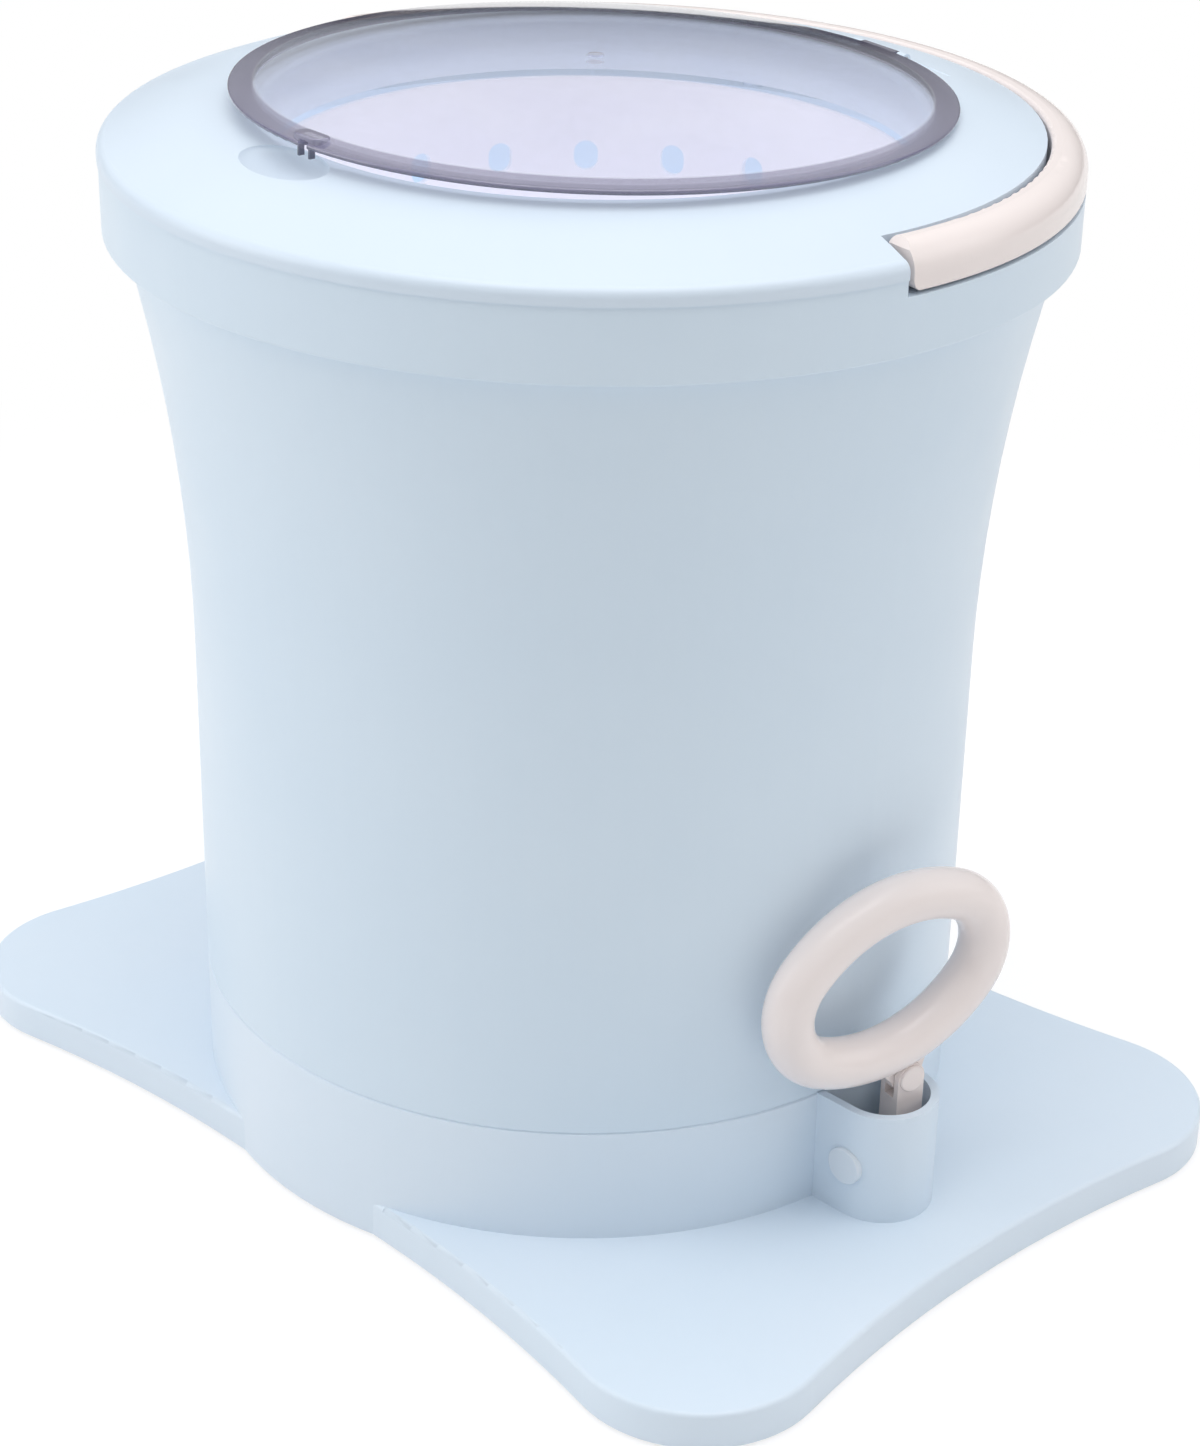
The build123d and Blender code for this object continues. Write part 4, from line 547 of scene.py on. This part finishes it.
# ---------------------------------------------------------------- floor, light and camera
def floor_finish():
    """Pale studio floor: it keeps the object's soft shadow and fades to plain white further out."""
    made, tree = material("studio_floor")
    path = add(tree, "ShaderNodeLightPath").outputs
    seen = add(tree, "ShaderNodeMath", {0: path["Is Camera Ray"], 1: path["Is Glossy Ray"]}, operation="MAXIMUM")
    seen = add(tree, "ShaderNodeMath", {0: seen, 1: path["Is Transmission Ray"]}, operation="MAXIMUM")
    place = add(tree, "ShaderNodeTexCoord").outputs["Object"]
    away = add(tree, "ShaderNodeVectorMath", {0: place}, operation="LENGTH").outputs["Value"]
    far = add(tree, "ShaderNodeMapRange", {"Value": away, "From Min": FLOOR_SHADED, "From Max": FLOOR_WHITE},
              interpolation_type="SMOOTHSTEP")
    matt = add(tree, "ShaderNodeBsdfDiffuse", {"Color": srgb("f2f2f2")})
    dim = add(tree, "ShaderNodeBsdfDiffuse", {"Color": (0.30, 0.30, 0.31, 1)})
    lift = add(tree, "ShaderNodeEmission", {"Color": WHITE, "Strength": 0.74})
    near = add(tree, "ShaderNodeAddShader", {0: dim, 1: lift})
    white = add(tree, "ShaderNodeEmission", {"Color": WHITE, "Strength": 1.0})
    shown = add(tree, "ShaderNodeMixShader", {0: far, 1: near, 2: white})
    mix = add(tree, "ShaderNodeMixShader", {0: seen, 1: matt, 2: shown})
    add(tree, "ShaderNodeOutputMaterial", {"Surface": mix})
    return made


def studio_floor():
    """A wide flat floor under the feet."""
    half = FLOOR_HALF
    data = bpy.data.meshes.new("studio_floor")
    data.from_pydata([(-half, -half, 0), (half, -half, 0), (half, half, 0), (-half, half, 0)], [], [(0, 1, 2, 3)])
    data.materials.append(floor_finish())
    floor = bpy.data.objects.new("studio_floor", data)
    bpy.context.scene.collection.objects.link(floor)


def studio_world():
    """An even pale surround, plain white where it is looked at."""
    world = bpy.data.worlds.new("studio")
    bpy.context.scene.world = world
    world.use_nodes = True
    tree = world.node_tree
    tree.nodes.clear()
    path = add(tree, "ShaderNodeLightPath").outputs
    seen = add(tree, "ShaderNodeMath", {0: path["Is Camera Ray"], 1: path["Is Transmission Ray"]},
               operation="MAXIMUM")
    direction = add(tree, "ShaderNodeTexCoord").outputs["Generated"]
    height = add(tree, "ShaderNodeSeparateXYZ", {0: direction}).outputs[2]
    above = add(tree, "ShaderNodeMath", {0: height, 1: 0.0}, operation="MAXIMUM")
    dome = add(tree, "ShaderNodeMath", {0: above, 1: 0.6}, operation="POWER")
    strength = add(tree, "ShaderNodeMapRange", {"Value": seen, "To Min": dome, "To Max": 1.0})
    level = add(tree, "ShaderNodeMath", {0: strength, 1: WORLD_LEVEL}, operation="MULTIPLY")
    held = add(tree, "ShaderNodeMath", {0: level, 1: seen}, operation="MAXIMUM")
    sky = add(tree, "ShaderNodeBackground", {"Color": WHITE, "Strength": held})
    add(tree, "ShaderNodeOutputWorld", {"Surface": sky})


def softbox(name, place, target, width, height, power, colour=(1, 1, 1)):
    """A rectangular soft lamp that faces its target."""
    data = bpy.data.lights.new(name, "AREA")
    data.shape = "RECTANGLE"
    data.size = width
    data.size_y = height
    data.energy = power
    data.color = colour
    lamp = bpy.data.objects.new(name, data)
    lamp.location = place
    lamp.rotation_euler = (Vector(target) - Vector(place)).to_track_quat("-Z", "Y").to_euler()
    bpy.context.scene.collection.objects.link(lamp)


def camera():
    """The studio camera: a long lens, looking down on the dryer from the front right."""
    place, focal_length, sensor = (0.7133, -0.7083, 0.6444), 78.11, 36.0
    pitch, yaw, roll, swing = 0.46437, 0.00616, 0.02131, math.radians(45.2)
    forward = Vector((math.sin(yaw) * math.cos(pitch), math.cos(yaw) * math.cos(pitch), -math.sin(pitch)))
    right = Vector((math.cos(yaw), -math.sin(yaw), 0))
    up = right.cross(forward)
    across = right * math.cos(roll) + up * math.sin(roll)
    upward = up * math.cos(roll) - right * math.sin(roll)
    turn = Matrix.Rotation(swing, 3, "Z")
    axes = Matrix([turn @ across, turn @ upward, turn @ -forward]).transposed()
    data = bpy.data.cameras.new("studio_camera")
    data.lens = focal_length
    data.sensor_width = sensor
    data.sensor_fit = "AUTO"
    seen_from = bpy.data.objects.new("studio_camera", data)
    seen_from.matrix_world = Matrix.Translation(place) @ axes.to_4x4()
    bpy.context.scene.collection.objects.link(seen_from)
    bpy.context.scene.camera = seen_from


studio_floor()
studio_world()
softbox("softbox_left", (-1.222, -1.456, 0.9), (0, 0, 0.2), 1.2, 1.6, 11.0)
softbox("softbox_right", (1.456, 1.222, 0.9), (0, 0, 0.2), 1.2, 1.6, 5.5, (1.0, 0.97, 0.95))
softbox("softbox_top", (0.1, -0.1, 1.9), (0, 0, 0.3), 1.4, 1.4, 12.5)
camera()
bpy.context.scene.view_settings.view_transform = "Standard"
